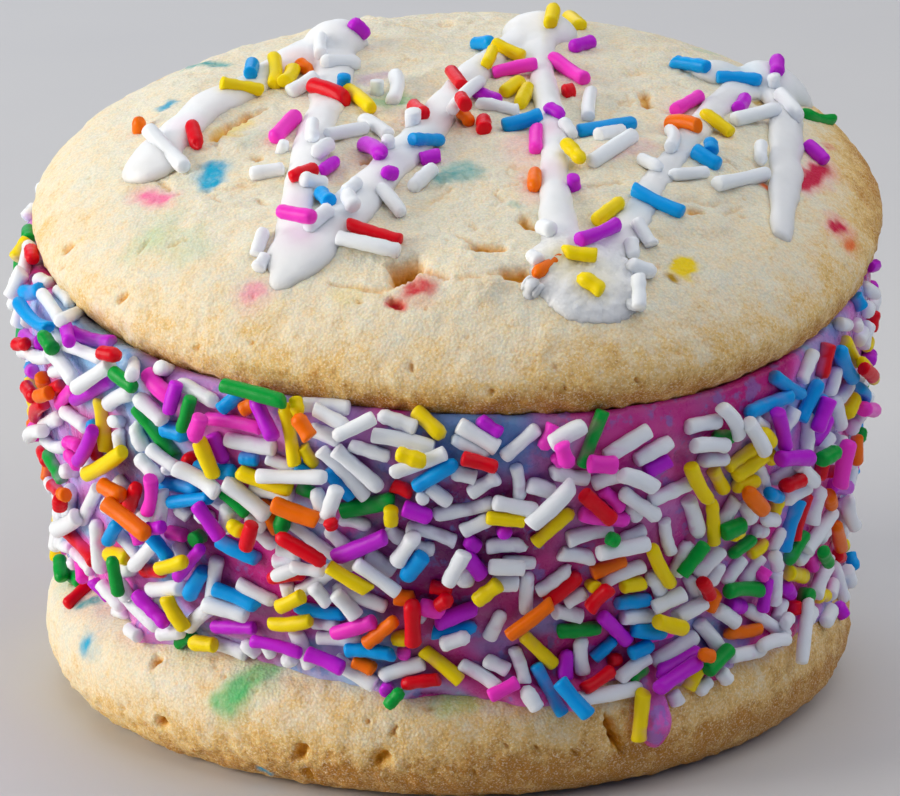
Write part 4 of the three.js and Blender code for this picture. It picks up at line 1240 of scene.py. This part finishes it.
sideSprinkles = [  # colour, and the pixels of each one's two ends; those further down lie on those before
    ("white", [
        (206, 494, 238, 516), (259, 533, 273, 544), (305, 405, 346, 408), (253, 489, 290, 494),
        (270, 459, 290, 467), (279, 549, 296, 553), (278, 561, 294, 559), (301, 591, 331, 570),
        (314, 588, 326, 602), (316, 623, 336, 625), (338, 568, 358, 560), (178, 545, 184, 558),
        (158, 600, 170, 622), (118, 585, 155, 625), (119, 582, 127, 598), (227, 510, 225, 527),
        (250, 518, 262, 526), (217, 561, 212, 600), (161, 634, 180, 632), (287, 586, 290, 596),
        (390, 530, 405, 541), (420, 548, 431, 549), (455, 473, 472, 477), (465, 572, 466, 582),
        (497, 582, 514, 583), (505, 562, 532, 563), (631, 507, 636, 515), (650, 575, 660, 593),
        (625, 617, 650, 615), (557, 612, 578, 616), (582, 640, 583, 670), (674, 695, 677, 701),
        (755, 421, 763, 427), (702, 460, 724, 459), (785, 425, 793, 412), (836, 370, 830, 392),
        (848, 385, 838, 400), (858, 378, 873, 382), (843, 505, 851, 538), (776, 575, 775, 600),
        (808, 550, 799, 560), (733, 656, 762, 650), (708, 682, 700, 690), (689, 580, 695, 598),
        (688, 545, 676, 572)]),
    ("blue", [
        (199, 468, 232, 472), (330, 472, 350, 494), (297, 607, 341, 614), (172, 502, 208, 498),
        (436, 632, 473, 627), (815, 420, 821, 398), (165, 428, 186, 434), (160, 484, 196, 490)]),
    ("orange", [(263, 502, 277, 530), (398, 597, 410, 598), (244, 409, 256, 402)]),
    ("red", [(272, 578, 300, 574)]),
    ("yellow", [
        (241, 472, 288, 488), (296, 402, 298, 412), (231, 524, 241, 531), (763, 433, 770, 441),
        (778, 502, 774, 511), (846, 546, 851, 549), (818, 598, 825, 596)]),
    ("pink", [(552, 428, 543, 446), (584, 514, 624, 519), (640, 640, 668, 631), (557, 457, 561, 462)]),
    ("green", [
        (224, 494, 245, 513), (301, 488, 313, 493), (715, 437, 731, 437), (633, 678, 645, 668),
        (345, 510, 391, 500)]),
    ("purple", [(466, 556, 480, 573), (731, 604, 740, 606), (828, 486, 850, 488)]),
    ("white", [
        (29, 247, 24, 272), (21, 274, 12, 294), (38, 279, 48, 283), (43, 295, 59, 319), (57, 291, 69, 304),
        (61, 321, 87, 310), (50, 329, 64, 352), (67, 345, 100, 358), (18, 352, 32, 353), (30, 352, 49, 356),
        (52, 353, 72, 379), (139, 346, 131, 379), (77, 387, 108, 366), (110, 404, 131, 394),
        (138, 398, 162, 420), (136, 426, 144, 446), (140, 459, 158, 478), (152, 450, 176, 467),
        (119, 434, 121, 450), (66, 412, 86, 426), (42, 428, 62, 416), (28, 438, 46, 430), (45, 440, 66, 446),
        (36, 485, 52, 488), (70, 492, 69, 513), (83, 519, 97, 489), (127, 512, 140, 516),
        (144, 513, 150, 522), (162, 493, 159, 521), (117, 532, 137, 556), (134, 565, 155, 541),
        (97, 523, 101, 570), (75, 553, 90, 570), (55, 530, 75, 517), (57, 542, 66, 546),
        (181, 384, 214, 402), (229, 440, 271, 448), (260, 476, 324, 477), (317, 410, 345, 425),
        (313, 430, 336, 439), (336, 436, 371, 419), (322, 452, 364, 496), (338, 452, 378, 487),
        (178, 470, 214, 492), (227, 484, 265, 515), (317, 492, 325, 517), (336, 491, 328, 514),
        (294, 526, 332, 554), (329, 530, 345, 545), (276, 576, 297, 568), (294, 567, 321, 571),
        (297, 635, 309, 664), (214, 643, 243, 653), (207, 605, 243, 615), (190, 626, 208, 610),
        (241, 584, 272, 600), (150, 590, 180, 588), (120, 571, 133, 568), (103, 586, 121, 606),
        (321, 638, 357, 640), (382, 416, 412, 427), (376, 436, 430, 447), (353, 446, 386, 456),
        (395, 472, 442, 454), (462, 427, 494, 446), (455, 440, 484, 455), (505, 456, 535, 430),
        (516, 469, 519, 496), (473, 492, 495, 479), (431, 489, 447, 501), (437, 514, 490, 503),
        (410, 528, 452, 541), (465, 530, 486, 520), (497, 503, 532, 510), (344, 520, 367, 526),
        (413, 538, 398, 560), (371, 556, 391, 569), (463, 556, 449, 582), (490, 547, 522, 546),
        (493, 567, 520, 568), (358, 565, 395, 591), (444, 644, 466, 637), (501, 614, 490, 636),
        (336, 588, 383, 606), (337, 595, 354, 614), (338, 662, 372, 683), (385, 675, 420, 664),
        (463, 666, 494, 685), (488, 661, 505, 669), (531, 486, 550, 492), (533, 523, 570, 487),
        (554, 443, 582, 427), (554, 472, 585, 478), (596, 483, 617, 476), (624, 476, 652, 487),
        (609, 455, 646, 432), (639, 459, 668, 443), (625, 494, 657, 516), (653, 500, 690, 483),
        (571, 539, 608, 529), (623, 538, 642, 530), (602, 553, 645, 544), (563, 554, 590, 558),
        (665, 523, 671, 550), (528, 576, 526, 610), (540, 590, 568, 569), (514, 650, 524, 680),
        (526, 690, 536, 706), (569, 602, 583, 594), (605, 582, 641, 567), (657, 607, 681, 595),
        (655, 661, 693, 637), (621, 678, 646, 659), (579, 699, 639, 688), (690, 427, 717, 422),
        (722, 409, 738, 435), (697, 446, 724, 446), (750, 425, 764, 449), (757, 466, 764, 490),
        (773, 480, 790, 470), (787, 499, 805, 487), (800, 465, 815, 482), (808, 416, 807, 448),
        (813, 354, 803, 378), (829, 438, 822, 450), (852, 427, 860, 414), (836, 402, 841, 424),
        (689, 502, 698, 533), (734, 502, 719, 528), (746, 505, 750, 518), (765, 520, 774, 520),
        (756, 531, 765, 532), (782, 531, 773, 548), (832, 513, 808, 548), (820, 490, 812, 520),
        (849, 500, 860, 530), (775, 556, 777, 565), (759, 558, 745, 580), (699, 573, 718, 552),
        (709, 582, 718, 567), (741, 560, 726, 581), (718, 610, 735, 622), (747, 609, 784, 634),
        (782, 604, 778, 616), (790, 617, 785, 625), (808, 603, 802, 660), (826, 568, 817, 592),
        (834, 566, 843, 596), (679, 616, 703, 603), (700, 624, 719, 648), (762, 647, 785, 640)]),
    ("blue", [
        (24, 292, 39, 290), (18, 301, 49, 327), (93, 423, 95, 431), (109, 540, 118, 524),
        (152, 538, 167, 557), (238, 394, 222, 408), (243, 458, 254, 459), (190, 596, 203, 572),
        (221, 541, 255, 558), (217, 590, 254, 606), (417, 486, 454, 464), (421, 558, 407, 576),
        (350, 651, 390, 655), (620, 603, 645, 600), (596, 656, 612, 641), (636, 630, 659, 632),
        (633, 653, 650, 645), (562, 684, 587, 713), (537, 667, 562, 712), (775, 377, 801, 394),
        (749, 413, 788, 397), (802, 417, 818, 384), (841, 350, 853, 378), (856, 388, 866, 402),
        (769, 493, 779, 497), (797, 505, 784, 548), (851, 556, 857, 568), (857, 298, 861, 306)]),
    ("yellow", [
        (26, 243, 16, 257), (17, 379, 29, 386), (101, 404, 106, 449), (83, 476, 125, 450),
        (110, 554, 127, 557), (200, 443, 212, 472), (284, 407, 294, 462), (305, 449, 314, 463),
        (281, 606, 300, 597), (272, 623, 308, 620), (192, 643, 212, 645), (168, 600, 184, 626),
        (161, 568, 183, 561), (418, 413, 441, 435), (400, 454, 422, 461), (391, 511, 391, 523),
        (490, 518, 521, 521), (331, 568, 366, 589), (478, 600, 496, 586), (395, 639, 404, 638),
        (425, 652, 458, 679), (537, 541, 570, 512), (653, 549, 670, 582), (525, 637, 552, 663),
        (625, 586, 640, 583), (660, 622, 683, 628), (730, 466, 752, 450), (737, 475, 762, 457),
        (738, 486, 755, 481), (770, 455, 772, 458), (692, 468, 709, 500), (714, 471, 723, 488),
        (712, 502, 714, 541), (752, 553, 764, 543), (790, 573, 803, 576), (846, 342, 856, 362),
        (862, 363, 873, 378), (872, 345, 878, 338), (847, 412, 853, 398), (699, 666, 689, 685),
        (643, 695, 639, 738)]),
    ("purple", [
        (13, 332, 42, 342), (66, 326, 69, 341), (74, 333, 110, 341), (15, 369, 34, 372),
        (76, 399, 110, 381), (176, 385, 169, 411), (78, 460, 92, 431), (147, 529, 161, 527),
        (256, 401, 272, 436), (213, 437, 223, 458), (198, 507, 218, 535), (178, 576, 200, 549),
        (137, 595, 165, 623), (217, 627, 252, 628), (254, 642, 298, 653), (310, 655, 340, 668),
        (338, 556, 382, 538), (407, 509, 426, 516), (469, 541, 476, 546), (482, 421, 498, 432),
        (439, 623, 473, 609), (352, 571, 357, 577), (567, 653, 566, 676), (603, 617, 627, 641),
        (648, 471, 667, 461), (660, 672, 695, 653), (660, 688, 698, 662), (778, 414, 785, 445),
        (782, 459, 808, 458), (818, 428, 828, 402), (786, 587, 790, 594), (767, 582, 763, 608),
        (838, 606, 843, 614), (869, 355, 871, 360)]),
    ("pink", [
        (149, 374, 170, 396), (60, 404, 73, 387), (24, 428, 31, 435), (69, 443, 78, 447),
        (70, 455, 77, 463), (150, 481, 147, 510), (209, 419, 258, 428), (200, 420, 194, 437),
        (170, 532, 183, 535), (335, 633, 371, 622), (424, 607, 440, 611), (563, 447, 569, 464),
        (593, 464, 613, 465), (604, 492, 619, 506), (492, 695, 515, 683), (404, 650, 404, 656),
        (864, 409, 873, 410), (849, 444, 841, 485), (764, 572, 761, 577), (811, 553, 813, 566),
        (820, 555, 824, 557)]),
    ("red", [
        (32, 251, 33, 259), (17, 344, 24, 344), (102, 353, 117, 356), (27, 388, 33, 397),
        (52, 393, 61, 386), (33, 420, 45, 402), (93, 447, 97, 457), (37, 452, 38, 463), (49, 486, 62, 496),
        (60, 500, 60, 506), (112, 498, 120, 505), (136, 488, 128, 509), (68, 532, 93, 560),
        (147, 571, 161, 571), (68, 604, 86, 587), (251, 527, 246, 546), (279, 537, 322, 562),
        (395, 487, 408, 492), (465, 459, 494, 467), (412, 604, 413, 640), (434, 587, 448, 590),
        (440, 604, 449, 598), (405, 684, 435, 680), (586, 496, 610, 518), (548, 599, 577, 576),
        (592, 607, 609, 590), (585, 688, 610, 671), (612, 661, 618, 660), (828, 347, 822, 375),
        (873, 314, 873, 328), (864, 369, 873, 377), (784, 486, 800, 480), (807, 497, 795, 538),
        (837, 556, 840, 557), (703, 583, 709, 594), (794, 605, 795, 611), (331, 523, 332, 526)]),
    ("green", [
        (28, 230, 29, 239), (44, 336, 52, 348), (114, 373, 133, 387), (139, 411, 174, 455),
        (48, 454, 62, 479), (190, 400, 182, 428), (226, 386, 281, 401), (284, 517, 281, 531),
        (180, 643, 192, 636), (66, 567, 81, 580), (60, 560, 62, 578), (112, 560, 118, 592),
        (388, 705, 400, 692), (602, 414, 583, 464), (561, 631, 596, 628), (822, 459, 836, 451),
        (726, 532, 740, 526), (804, 535, 788, 561), (824, 552, 829, 563), (732, 554, 750, 540),
        (704, 546, 684, 572), (729, 592, 758, 590), (728, 650, 709, 669), (859, 432, 861, 438),
        (611, 539, 615, 541)]),
    ("orange", [
        (43, 378, 43, 385), (38, 396, 48, 393), (104, 486, 121, 495), (108, 505, 145, 534),
        (62, 494, 65, 495), (276, 505, 314, 519), (297, 418, 308, 435), (368, 642, 394, 621),
        (357, 662, 372, 669), (511, 634, 549, 605), (595, 572, 622, 560), (748, 492, 763, 509),
        (857, 440, 863, 462), (829, 496, 831, 503), (836, 525, 841, 547), (716, 595, 710, 608),
        (727, 633, 758, 629), (702, 654, 711, 656)]),
]

sideStanding = {
    "green": [(199, 537), (805, 596)], "yellow": [(592, 585)], "purple": [(503, 532), (386, 687)],
    "red": [(190, 459), (829, 472)], "blue": [(303, 466)],
    "white": [(421, 498), (838, 439), (172, 466), (164, 370), (118, 421), (71, 471)],
}

barePatches = [  # pixels on the wall where few sprinkles lie, with a radius in mm
    (690, 408, 3.6), (655, 395, 2.8), (250, 585, 3.4), (262, 560, 2.6), (640, 440, 1.8), (590, 420, 2.2),
    (300, 640, 2.0), (730, 400, 2.2),
]


farAway = 9.0        # in mm, where nothing is near


class RodList:
    # the sprinkles placed so far, and how near a new one comes to them
    def __init__(self):
        self.rods = []
        self.handPlaced = 0
        self.cells = {}
        self.size, self.margin = 8.0, 0.3        # of a cell in mm, and as a part of it

    def cellsOf(self, start, end):
        low = np.floor(np.minimum(start, end) / self.size - self.margin).astype(int)
        high = np.floor(np.maximum(start, end) / self.size + self.margin).astype(int)
        return [(x, y, z) for x in range(low[0], high[0] + 1) for y in range(low[1], high[1] + 1)
                for z in range(low[2], high[2] + 1)]

    def add(self, colour, start, end, radius):
        for cell in self.cellsOf(start, end):
            self.cells.setdefault(cell, []).append(len(self.rods))
        self.rods.append((colour, start, end, radius))

    def clearance(self, start, end, radius):
        near = sorted({index for cell in self.cellsOf(start, end) for index in self.cells.get(cell, [])})
        if not near:
            return farAway
        starts, ends, radii = (np.array([self.rods[index][field] for index in near]) for field in (1, 2, 3))
        return float(np.min(segmentGaps(start, end, starts, ends) - radii - radius))


def segmentGaps(start, end, starts, ends):
    # the shortest way from one segment to each of many
    own, others, between = end - start, ends - starts, start - starts
    a, e = own @ own, np.sum(others * others, axis=1)
    b, c, f = others @ own, between @ own, np.sum(others * between, axis=1)
    flat = np.maximum(a * e - b * b, 1e-9)
    s = np.clip((b * f - c * e) / flat, 0, 1)
    t = np.clip((b * s + f) / np.maximum(e, 1e-9), 0, 1)
    s = np.clip((b * t - c) / max(a, 1e-9), 0, 1)
    gaps = between + s[:, None] * own - t[:, None] * others
    return np.linalg.norm(gaps, axis=1)


def stepInwards(aim):
    # three pixels on towards the middle of the view
    inwards = np.array(view["pixels"]) / 2 - aim
    return aim + inwards / np.linalg.norm(inwards) * 3


def liftedPoint(trees, px, py, lift, away):
    # the point that shows at this pixel and stands off the surface by the lift
    aim = np.array([px, py], dtype=float)
    point = None
    for _ in range(9):
        found = castPixel(trees, *aim)
        if found is None:
            aim = stepInwards(aim)
            continue
        point = found[0] + away * lift
        aim += np.array([px, py]) - pixelOf(point)
    return point


def awayFrom(trees, px, py):
    # straight off the side that shows at this pixel, or at the nearest one further in
    aim = np.array([px, py], dtype=float)
    for _ in range(30):
        found = castPixel(trees, *aim)
        if found is not None:
            outwards = found[0] * (1, 1, 0)
            away = found[1] * 0.45 + outwards / np.linalg.norm(outwards) * 0.55
            return away / np.linalg.norm(away)
        aim = stepInwards(aim)


def heightAbove(trees, point, up):
    above = 12
    origin = point + up * above
    hits = [tree.ray_cast(Vector(origin * mm), Vector(-up), 2 * above * mm)[3] for tree in trees]
    hits = [hit / mm for hit in hits if hit is not None]
    return min(hits) - above if hits else farAway


def placeByPixel(book, trees, colour, ends, rng, up, where, girth):
    # where: top or side
    radius = rng.uniform(*sprinkle[where + "Radius"])
    x0, y0, x1, y1 = ends
    length = math.hypot(x1 - x0, y1 - y0)
    inset = min(sprinkle[where + "Tips"], length * 0.2) / max(length, 1e-6)
    pixels = [(blendTo(ax, bx, inset), blendTo(ay, by, inset))
              for ax, ay, bx, by in (ends, ends[2:] + ends[:2])]
    away = up if up is not None else awayFrom(trees, (x0 + x1) / 2, (y0 + y1) / 2)
    for lift in np.arange(radius * (1 - sprinkle["embed"]), radius * 5, sprinkle["lift"]):
        start, end = (liftedPoint(trees, *pixel, lift, away) for pixel in pixels)
        if start is None or end is None:
            print("a sprinkle missed the food at", ends)
            return
        lowest = min(heightAbove(trees, blendTo(start, end, part), away) for part in (0.25, 0.5, 0.75))
        gap = book.clearance(start, end, radius * sprinkle[girth])
        if lowest > 0 and gap > -radius * sprinkle["overlap"]:
            break
    middle, half = (start + end) / 2, (end - start) / 2
    half *= min(1, sprinkle["longest"] / 2 / max(np.linalg.norm(half), 1e-6))
    book.add(colour, middle - half, middle + half, radius)


def placeStanding(book, trees, colour, px, py, rng, up, where):
    radius = rng.uniform(*sprinkle[where + "Radius"])
    away = up if up is not None else awayFrom(trees, px, py)
    foot = liftedPoint(trees, px, py, radius * 0.5, away)
    lean = away + rng.normal(0, 0.25, 3) - eyeAhead * 0.5        # a little towards the eye
    into, outOf = sprinkle["standing"]
    book.add(colour, foot - away * into, foot + lean / np.linalg.norm(lean) * outOf, radius)


def placeTopSprinkles(book, trees):
    rng = np.random.default_rng(5)
    up = tiltOf(topCookie)[:, 2]
    for colour, rods in topSprinkles.items():
        for ends in rods:
            placeByPixel(book, trees, colour, ends, rng, up, "top", "topGirth")
    for colour, ends in sunkenSprinkles:
        placeByPixel(book, trees[:1], colour, ends, rng, up, "top", "sunkenGirth")
    for colour, dots in standingSprinkles.items():
        for px, py in dots:
            placeStanding(book, trees, colour, px, py, rng, up, "top")


def placeSideSprinkles(book, trees):
    rng = np.random.default_rng(8)
    for colour, dots in sideStanding.items():
        for px, py in dots:
            placeStanding(book, trees, colour, px, py, rng, None, "side")
    for colour, rods in sideSprinkles:
        for ends in rods:
            placeByPixel(book, trees, colour, ends, rng, None, "side", "sideGirth")


def pickColour(rng):
    names = list(sprinkleColours)
    shares = np.array([sprinkleColours[name][1] for name in names])
    return names[rng.choice(len(names), p=shares / shares.sum())]


def clearOf(trees, start, end, radius):
    # whether one stays outside these surfaces
    for part in (0, 0.5, 1):
        point = blendTo(start, end, part)
        for tree in trees:
            nearest, normal, _, distance = tree.find_nearest(Vector(point * mm))
            outside = (point - np.array(nearest) / mm) @ np.array(normal)
            if outside < 0 or distance / mm < radius * sprinkle["cookieGirth"]:
                return False
    return True


def scatterSideSprinkles(book, tree, cookieTrees):
    rng = np.random.default_rng(11)
    bare = [(np.array(found[0]), radius) for px, py, radius in barePatches
            for found in [castPixel([tree], px, py)] if found]
    placed, filled, lowest = 0, 0, sprinkle["lowest"]
    baldSize, baldFrom, emptiness = sprinkle["bald"]
    for attempt in range(sprinkle["firstTries"] + sprinkle["laterTries"]):
        first = attempt < sprinkle["firstTries"]
        angle = rng.uniform(0, 2 * math.pi)
        out = np.array([math.cos(angle), math.sin(angle), 0])
        top = ceilingHeight(out[1] * iceCream["topRadius"]) + 0.6
        height = blendTo(lowest, top, rng.uniform(0, 1))
        slope = rng.uniform(0, 0.9) if height > top - sprinkle["rimBand"] else 0
        reach = iceCream["topRadius"]
        if height > top - sprinkle["shoulderBand"] and rng.random() < sprinkle["shoulderShare"]:
            reach, height, slope = reach - rng.uniform(*sprinkle["shoulderInset"]), top, 3.0
        aim = out * reach + np.array([0, 0, height])
        way = out + np.array([0, 0, slope])
        way /= np.linalg.norm(way)
        hit, normal, _, _ = tree.ray_cast(Vector((aim + way * 25) * mm), Vector(-way))
        if hit is None:
            continue
        spot, away = np.array(hit) / mm, np.array(normal)
        if away @ way < sprinkle["steepest"]:
            continue
        toEye = eyePoint - spot
        facing = away @ toEye / np.linalg.norm(toEye)
        shown = facing > sprinkle["frontFrom"]    # here those listed are nearly enough
        beside = not shown and facing > sprinkle["besideFrom"]
        if beside and height > top - sprinkle["rimBand"]:
            continue
        wanted = sprinkle["gapFill" if shown else "firstLayer" if first else "wanted"]
        if (filled if shown else placed) >= wanted:
            continue
        radius = rng.uniform(*sprinkle["sideRadius"])
        covered = book.clearance(spot + away * radius, spot + away * radius + 0.01, 0) < 0
        if covered and (first or shown or rng.random() < sprinkle["spreadShare"]):
            continue
        inBare = any(np.linalg.norm(spot - centre) < wide for centre, wide in bare)
        if inBare and (shown or rng.random() < sprinkle["bareShare"]):
            continue
        if layeredNoise(spot[None], baldSize, 1, 51)[0] > baldFrom and rng.random() < emptiness:
            continue
        length = blendTo(*sprinkle["length"], rng.beta(*sprinkle["lengthShape"]))
        length *= sprinkle["gapLength"] if shown else 1
        away = away * 0.6 + way * 0.4
        away /= np.linalg.norm(away)
        side = np.cross(away, (0, 0, 1))
        side /= np.linalg.norm(side)
        turn = rng.uniform(0, math.pi)
        lie = side * math.cos(turn) + np.cross(away, side) * math.sin(turn)
        lie += away * rng.normal(0, sprinkle["tiltSpread"])
        lie /= np.linalg.norm(lie)
        half = lie * (length / 2 - radius * 0.5)
        maxLift = 0 if first or shown or beside else sprinkle["maxLift"] * rng.uniform(0.3, 1.0)
        base = radius * (1 - sprinkle["embed"]) - beside * sprinkle["besideSunk"]
        sag = length ** 2 / 8 / sprinkle["wallRadius"] * abs(lie @ side) * 0.8
        for lift in np.arange(0, maxLift + 0.01, sprinkle["lift"]):
            centre = spot + away * (base + lift - sag)
            start, end = centre - half, centre + half
            bottom, tip = sorted((start[2], end[2]))
            if bottom < lowest - sprinkle["reachDown"]:
                continue
            margin = sprinkle["gapMargin"] if shown else -radius * sprinkle["bodyOverlap"]
            if book.clearance(start, end, radius * sprinkle["bodyGirth"]) < margin:
                continue
            nearCookie = tip > top - sprinkle["cookieBelow"] or bottom < sprinkle["cookieFrom"]
            if nearCookie and not clearOf(cookieTrees, start, end, radius):
                continue
            white = shown and rng.random() < sprinkle["gapWhite"]
            book.add("white" if white else pickColour(rng), start, end, radius)
            placed += not shown
            filled += shown
            break
    print("side sprinkles scattered:", placed, "and", filled, "in gaps")


def rodPoints(start, end, radius, fine, rng):
    # one rod with rounded or cut ends, a little bent, waisted and oval; some are ribbed
    sides, bodyRings = sprinkle["fine" if fine else "plain"]
    ahead = end - start
    length = np.linalg.norm(ahead)
    ahead = ahead / length
    start, end = start - ahead * radius * 0.5, end + ahead * radius * 0.5
    length += radius
    side = np.cross(ahead, rng.normal(0, 1, 3))
    side /= np.linalg.norm(side)
    other = np.cross(ahead, side)
    ribbed = fine and rng.random() < sprinkle["ribbedShare"]
    roundings, shares = sprinkle["roundings"], sprinkle["roundingShares"]
    fillets = radius * np.array([rng.choice(roundings, p=shares) for _ in range(2)])
    fillets = np.minimum(fillets, length * 0.4)
    slants = rng.normal(0, sprinkle["slant"], 2) * (rng.random(2) < 0.5) * min(1, length / 4)
    bend = side * rng.normal(0, sprinkle["bend"]) * length
    waist = rng.uniform(0, sprinkle["waist"])
    phase = rng.uniform(0, 2 * math.pi, 3)
    body = np.linspace(fillets[0], length - fillets[1], bodyRings)
    corner = 0.293                                               # 1 - cos 45 degrees
    places = np.concatenate([[0, fillets[0] * corner], body, [length - fillets[1] * corner, length]])
    radii = np.full(len(places), radius)
    radii[[0, 1]] = radius - fillets[0] * np.array([1, corner])
    radii[[-1, -2]] = radius - fillets[1] * np.array([1, corner])
    part = places / length
    radii = radii * (1 + 0.035 * np.sin(part * 7 + phase[0]) + 0.02 * np.sin(part * 19 + phase[1]))
    radii *= 1 - waist * np.sin(part * math.pi)
    if ribbed:
        radii *= 1 - sprinkle["ribDepth"] * np.abs(np.sin(places * 2.4 / radius * 0.7 + phase[0]))
    swing = np.arange(sides) / sides * 2 * math.pi
    oval = 1 + 0.06 * np.cos(2 * swing + phase[2])
    centres = start + places[:, None] * ahead + (4 * part * (1 - part))[:, None] * bend
    rim = (np.cos(swing) * oval)[:, None] * side + (np.sin(swing) * oval)[:, None] * other
    points = centres[:, None, :] + radii[:, None, None] * rim
    near = 1 - np.clip(np.where(part < 0.5, part, 1 - part) * 4, 0, 1)
    lean = np.where(part < 0.5, slants[0], slants[1]) * near
    points += (lean[:, None] * radius * np.cos(swing)[None, :])[..., None] * ahead
    poles = [start - ahead * radius * 0.05, end + ahead * radius * 0.05]
    return np.concatenate([poles[:1], points.reshape(-1, 3), poles[1:]])


def sprinkleMaterial(name, colour):
    white = name == "white"
    settings = {**sprinkle["shader"], "Subsurface Weight": sprinkle["whiteGlow" if white else "glow"]}
    material, tree, shader, where = newMaterial(name + "Sugar", settings)
    darker = tuple(channel * sprinkle["darkest"] for channel in colour[:3]) + (1.0,)
    paler = tuple(blendTo(channel, 1.0, 0.04) for channel in colour[:3]) + (1.0,)
    own = addNode(tree, "ShaderNodeNewGeometry").outputs["Random Per Island"]
    each = mapped(tree, own, (0.0, 1.0), (0.0, sprinkle["eachDarker"]))
    base = mixColour(tree, each, colour, paler if white else darker)
    wear = groupNode(tree, mottleGroup, where, sprinkle["wear"])["Mask"]
    worn = mixColour(tree, mapped(tree, wear, (0.55, 1.0), (0.0, sprinkle["dust"])), base, paler)
    film = stored(tree, "film")
    thin = calculated(tree, "MULTIPLY", film["Alpha"], sprinkle["whiteFilm" if white else "film"])
    tree.links.new(mixColour(tree, thin, worn, film["Color"]), shader.inputs["Base Color"])
    grain = groupNode(tree, grainGroup, where, sprinkle["grain"])["Height"]
    tree.links.new(mapped(tree, grain, (0.0, 1.0), sprinkle["roughness"]), shader.inputs["Roughness"])
    bumpFrom(tree, shader, grain, *sprinkle["bump"])
    return material


def meltOn(points, lookup, swirl):
    # how much melted ice cream lies on a sprinkle, and of which colour
    film = np.zeros((len(points), 4))
    for index, point in enumerate(points):
        _, nearest, distance = lookup.find(point)
        if distance < sprinkle["filmReach"]:
            film[index, :3] = swirl[nearest, :3]
            film[index, 3] = distance
    edge = film[:, 3] - noiseFrom(points, sprinkle["filmNoise"])
    film[:, 3] = np.where(film[:, 3] > 0, smoothStep(0.95, 0.15, edge), 0)
    return film


def makeSprinkles(book, icePoints, swirl):
    plain, fine = (tubeTriangles(sides, bodyRings + 4)[:, [0, 2, 1]]
                   for sides, bodyRings in (sprinkle["plain"], sprinkle["fine"]))
    lookup = KDTree(len(icePoints))
    for index, place in enumerate(icePoints):
        lookup.insert(place, index)
    lookup.balance()
    for number, (name, (colour, _)) in enumerate(sprinkleColours.items()):
        rng = np.random.default_rng(1000 + number)
        rods = []
        for index, (rodColour, start, end, radius) in enumerate(book.rods):
            if rodColour == name:
                detailed = index < book.handPlaced or rng.random() < sprinkle["fineShare"]
                rods.append((rodPoints(start, end, radius, detailed, rng), fine if detailed else plain))
        points, triangles = joinArrays(rods)
        piece = meshPiece("sprinkles_" + name, points, triangles, sprinkleMaterial(name, colour))
        store(piece, "film", meltOn(points, lookup, swirl))
        print(name, "sprinkles:", len(rods), "with", len(triangles), "triangles")


# floor and light

studio = {
    "world": linear(205, 219, 255), "worldStrength": 0.055,
    "lights": [  # name, place in mm, size in mm, watts, colour
        ("window", (-735, -160, 245), (500, 500), 5.8, linear(255, 251, 245)),
        ("ceiling", (270, -10, 750), (1300, 1300), 6.2, linear(255, 253, 250)),
        ("backFill", (-200, 600, 400), (600, 600), 1.4, linear(232, 240, 255)),
        ("rightFill", (450, -420, 260), (600, 600), 0.45, linear(140, 185, 255)),
    ],
    "floorSize": 3000, "aim": (0, 0, 30),
    "speckle": {"Size mm": 40.0, "Contrast": 0.4,
                "Pale": linear(202, 202, 204), "Deep": linear(216, 215, 213)},
}


def makeStudio():
    size = studio["floorSize"] / 2
    corners = size * np.array([(-1, -1, 0), (1, -1, 0), (1, 1, 0), (-1, 1, 0)])
    material, tree, shader, where = newMaterial("floor", {"Roughness": 0.8})
    speckle = groupNode(tree, mottleGroup, where, studio["speckle"])["Color"]
    tree.links.new(speckle, shader.inputs["Base Color"])
    floor = meshPiece("floor", corners, np.array([(0, 1, 2), (0, 2, 3)]), material, body=None)

    world = bpy.data.worlds.new("studio")
    world.use_nodes = True
    background = world.node_tree.nodes["Background"]
    background.inputs["Color"].default_value = studio["world"]
    background.inputs["Strength"].default_value = studio["worldStrength"]
    bpy.context.scene.world = world

    for name, place, size, watts, colour in studio["lights"]:
        data = bpy.data.lights.new(name, "AREA")
        data.shape = "RECTANGLE"
        data.size, data.size_y = size[0] * mm, size[1] * mm
        data.energy = watts
        data.color = colour[:3]
        light = bpy.data.objects.new(name, data)
        light.location = np.array(place) * mm
        aim = Vector(studio["aim"]) * mm - light.location
        light.rotation_euler = aim.to_track_quat("-Z", "Y").to_euler()
        bpy.context.scene.collection.objects.link(light)
    bpy.context.scene.view_settings.view_transform = "Standard"


makeCamera()
makeStudio()
print("camera and studio made")

bottomPiece = makeCookie("bottom_cookie", bottomCookie, bottomMarks, onBottomEdge, 0.0, bottomBrowningAndShade, 500)
topPiece = makeCookie("top_cookie", topCookie, topMarks, onTopDome, 1.0, topBrowningAndShade, 700)
icePiece, icePoints, iceSwirl = makeIceCream()
icingPiece = makeIcing()

rods = RodList()
topTrees = [surfaceTree(topPiece), surfaceTree(icingPiece)]
placeTopSprinkles(rods, topTrees)
iceTree = surfaceTree(icePiece)
bottomTree = surfaceTree(bottomPiece)
placeSideSprinkles(rods, [iceTree, bottomTree])
rods.handPlaced = len(rods.rods)
scatterSideSprinkles(rods, iceTree, [topTrees[0], bottomTree])
makeSprinkles(rods, icePoints, iceSwirl)
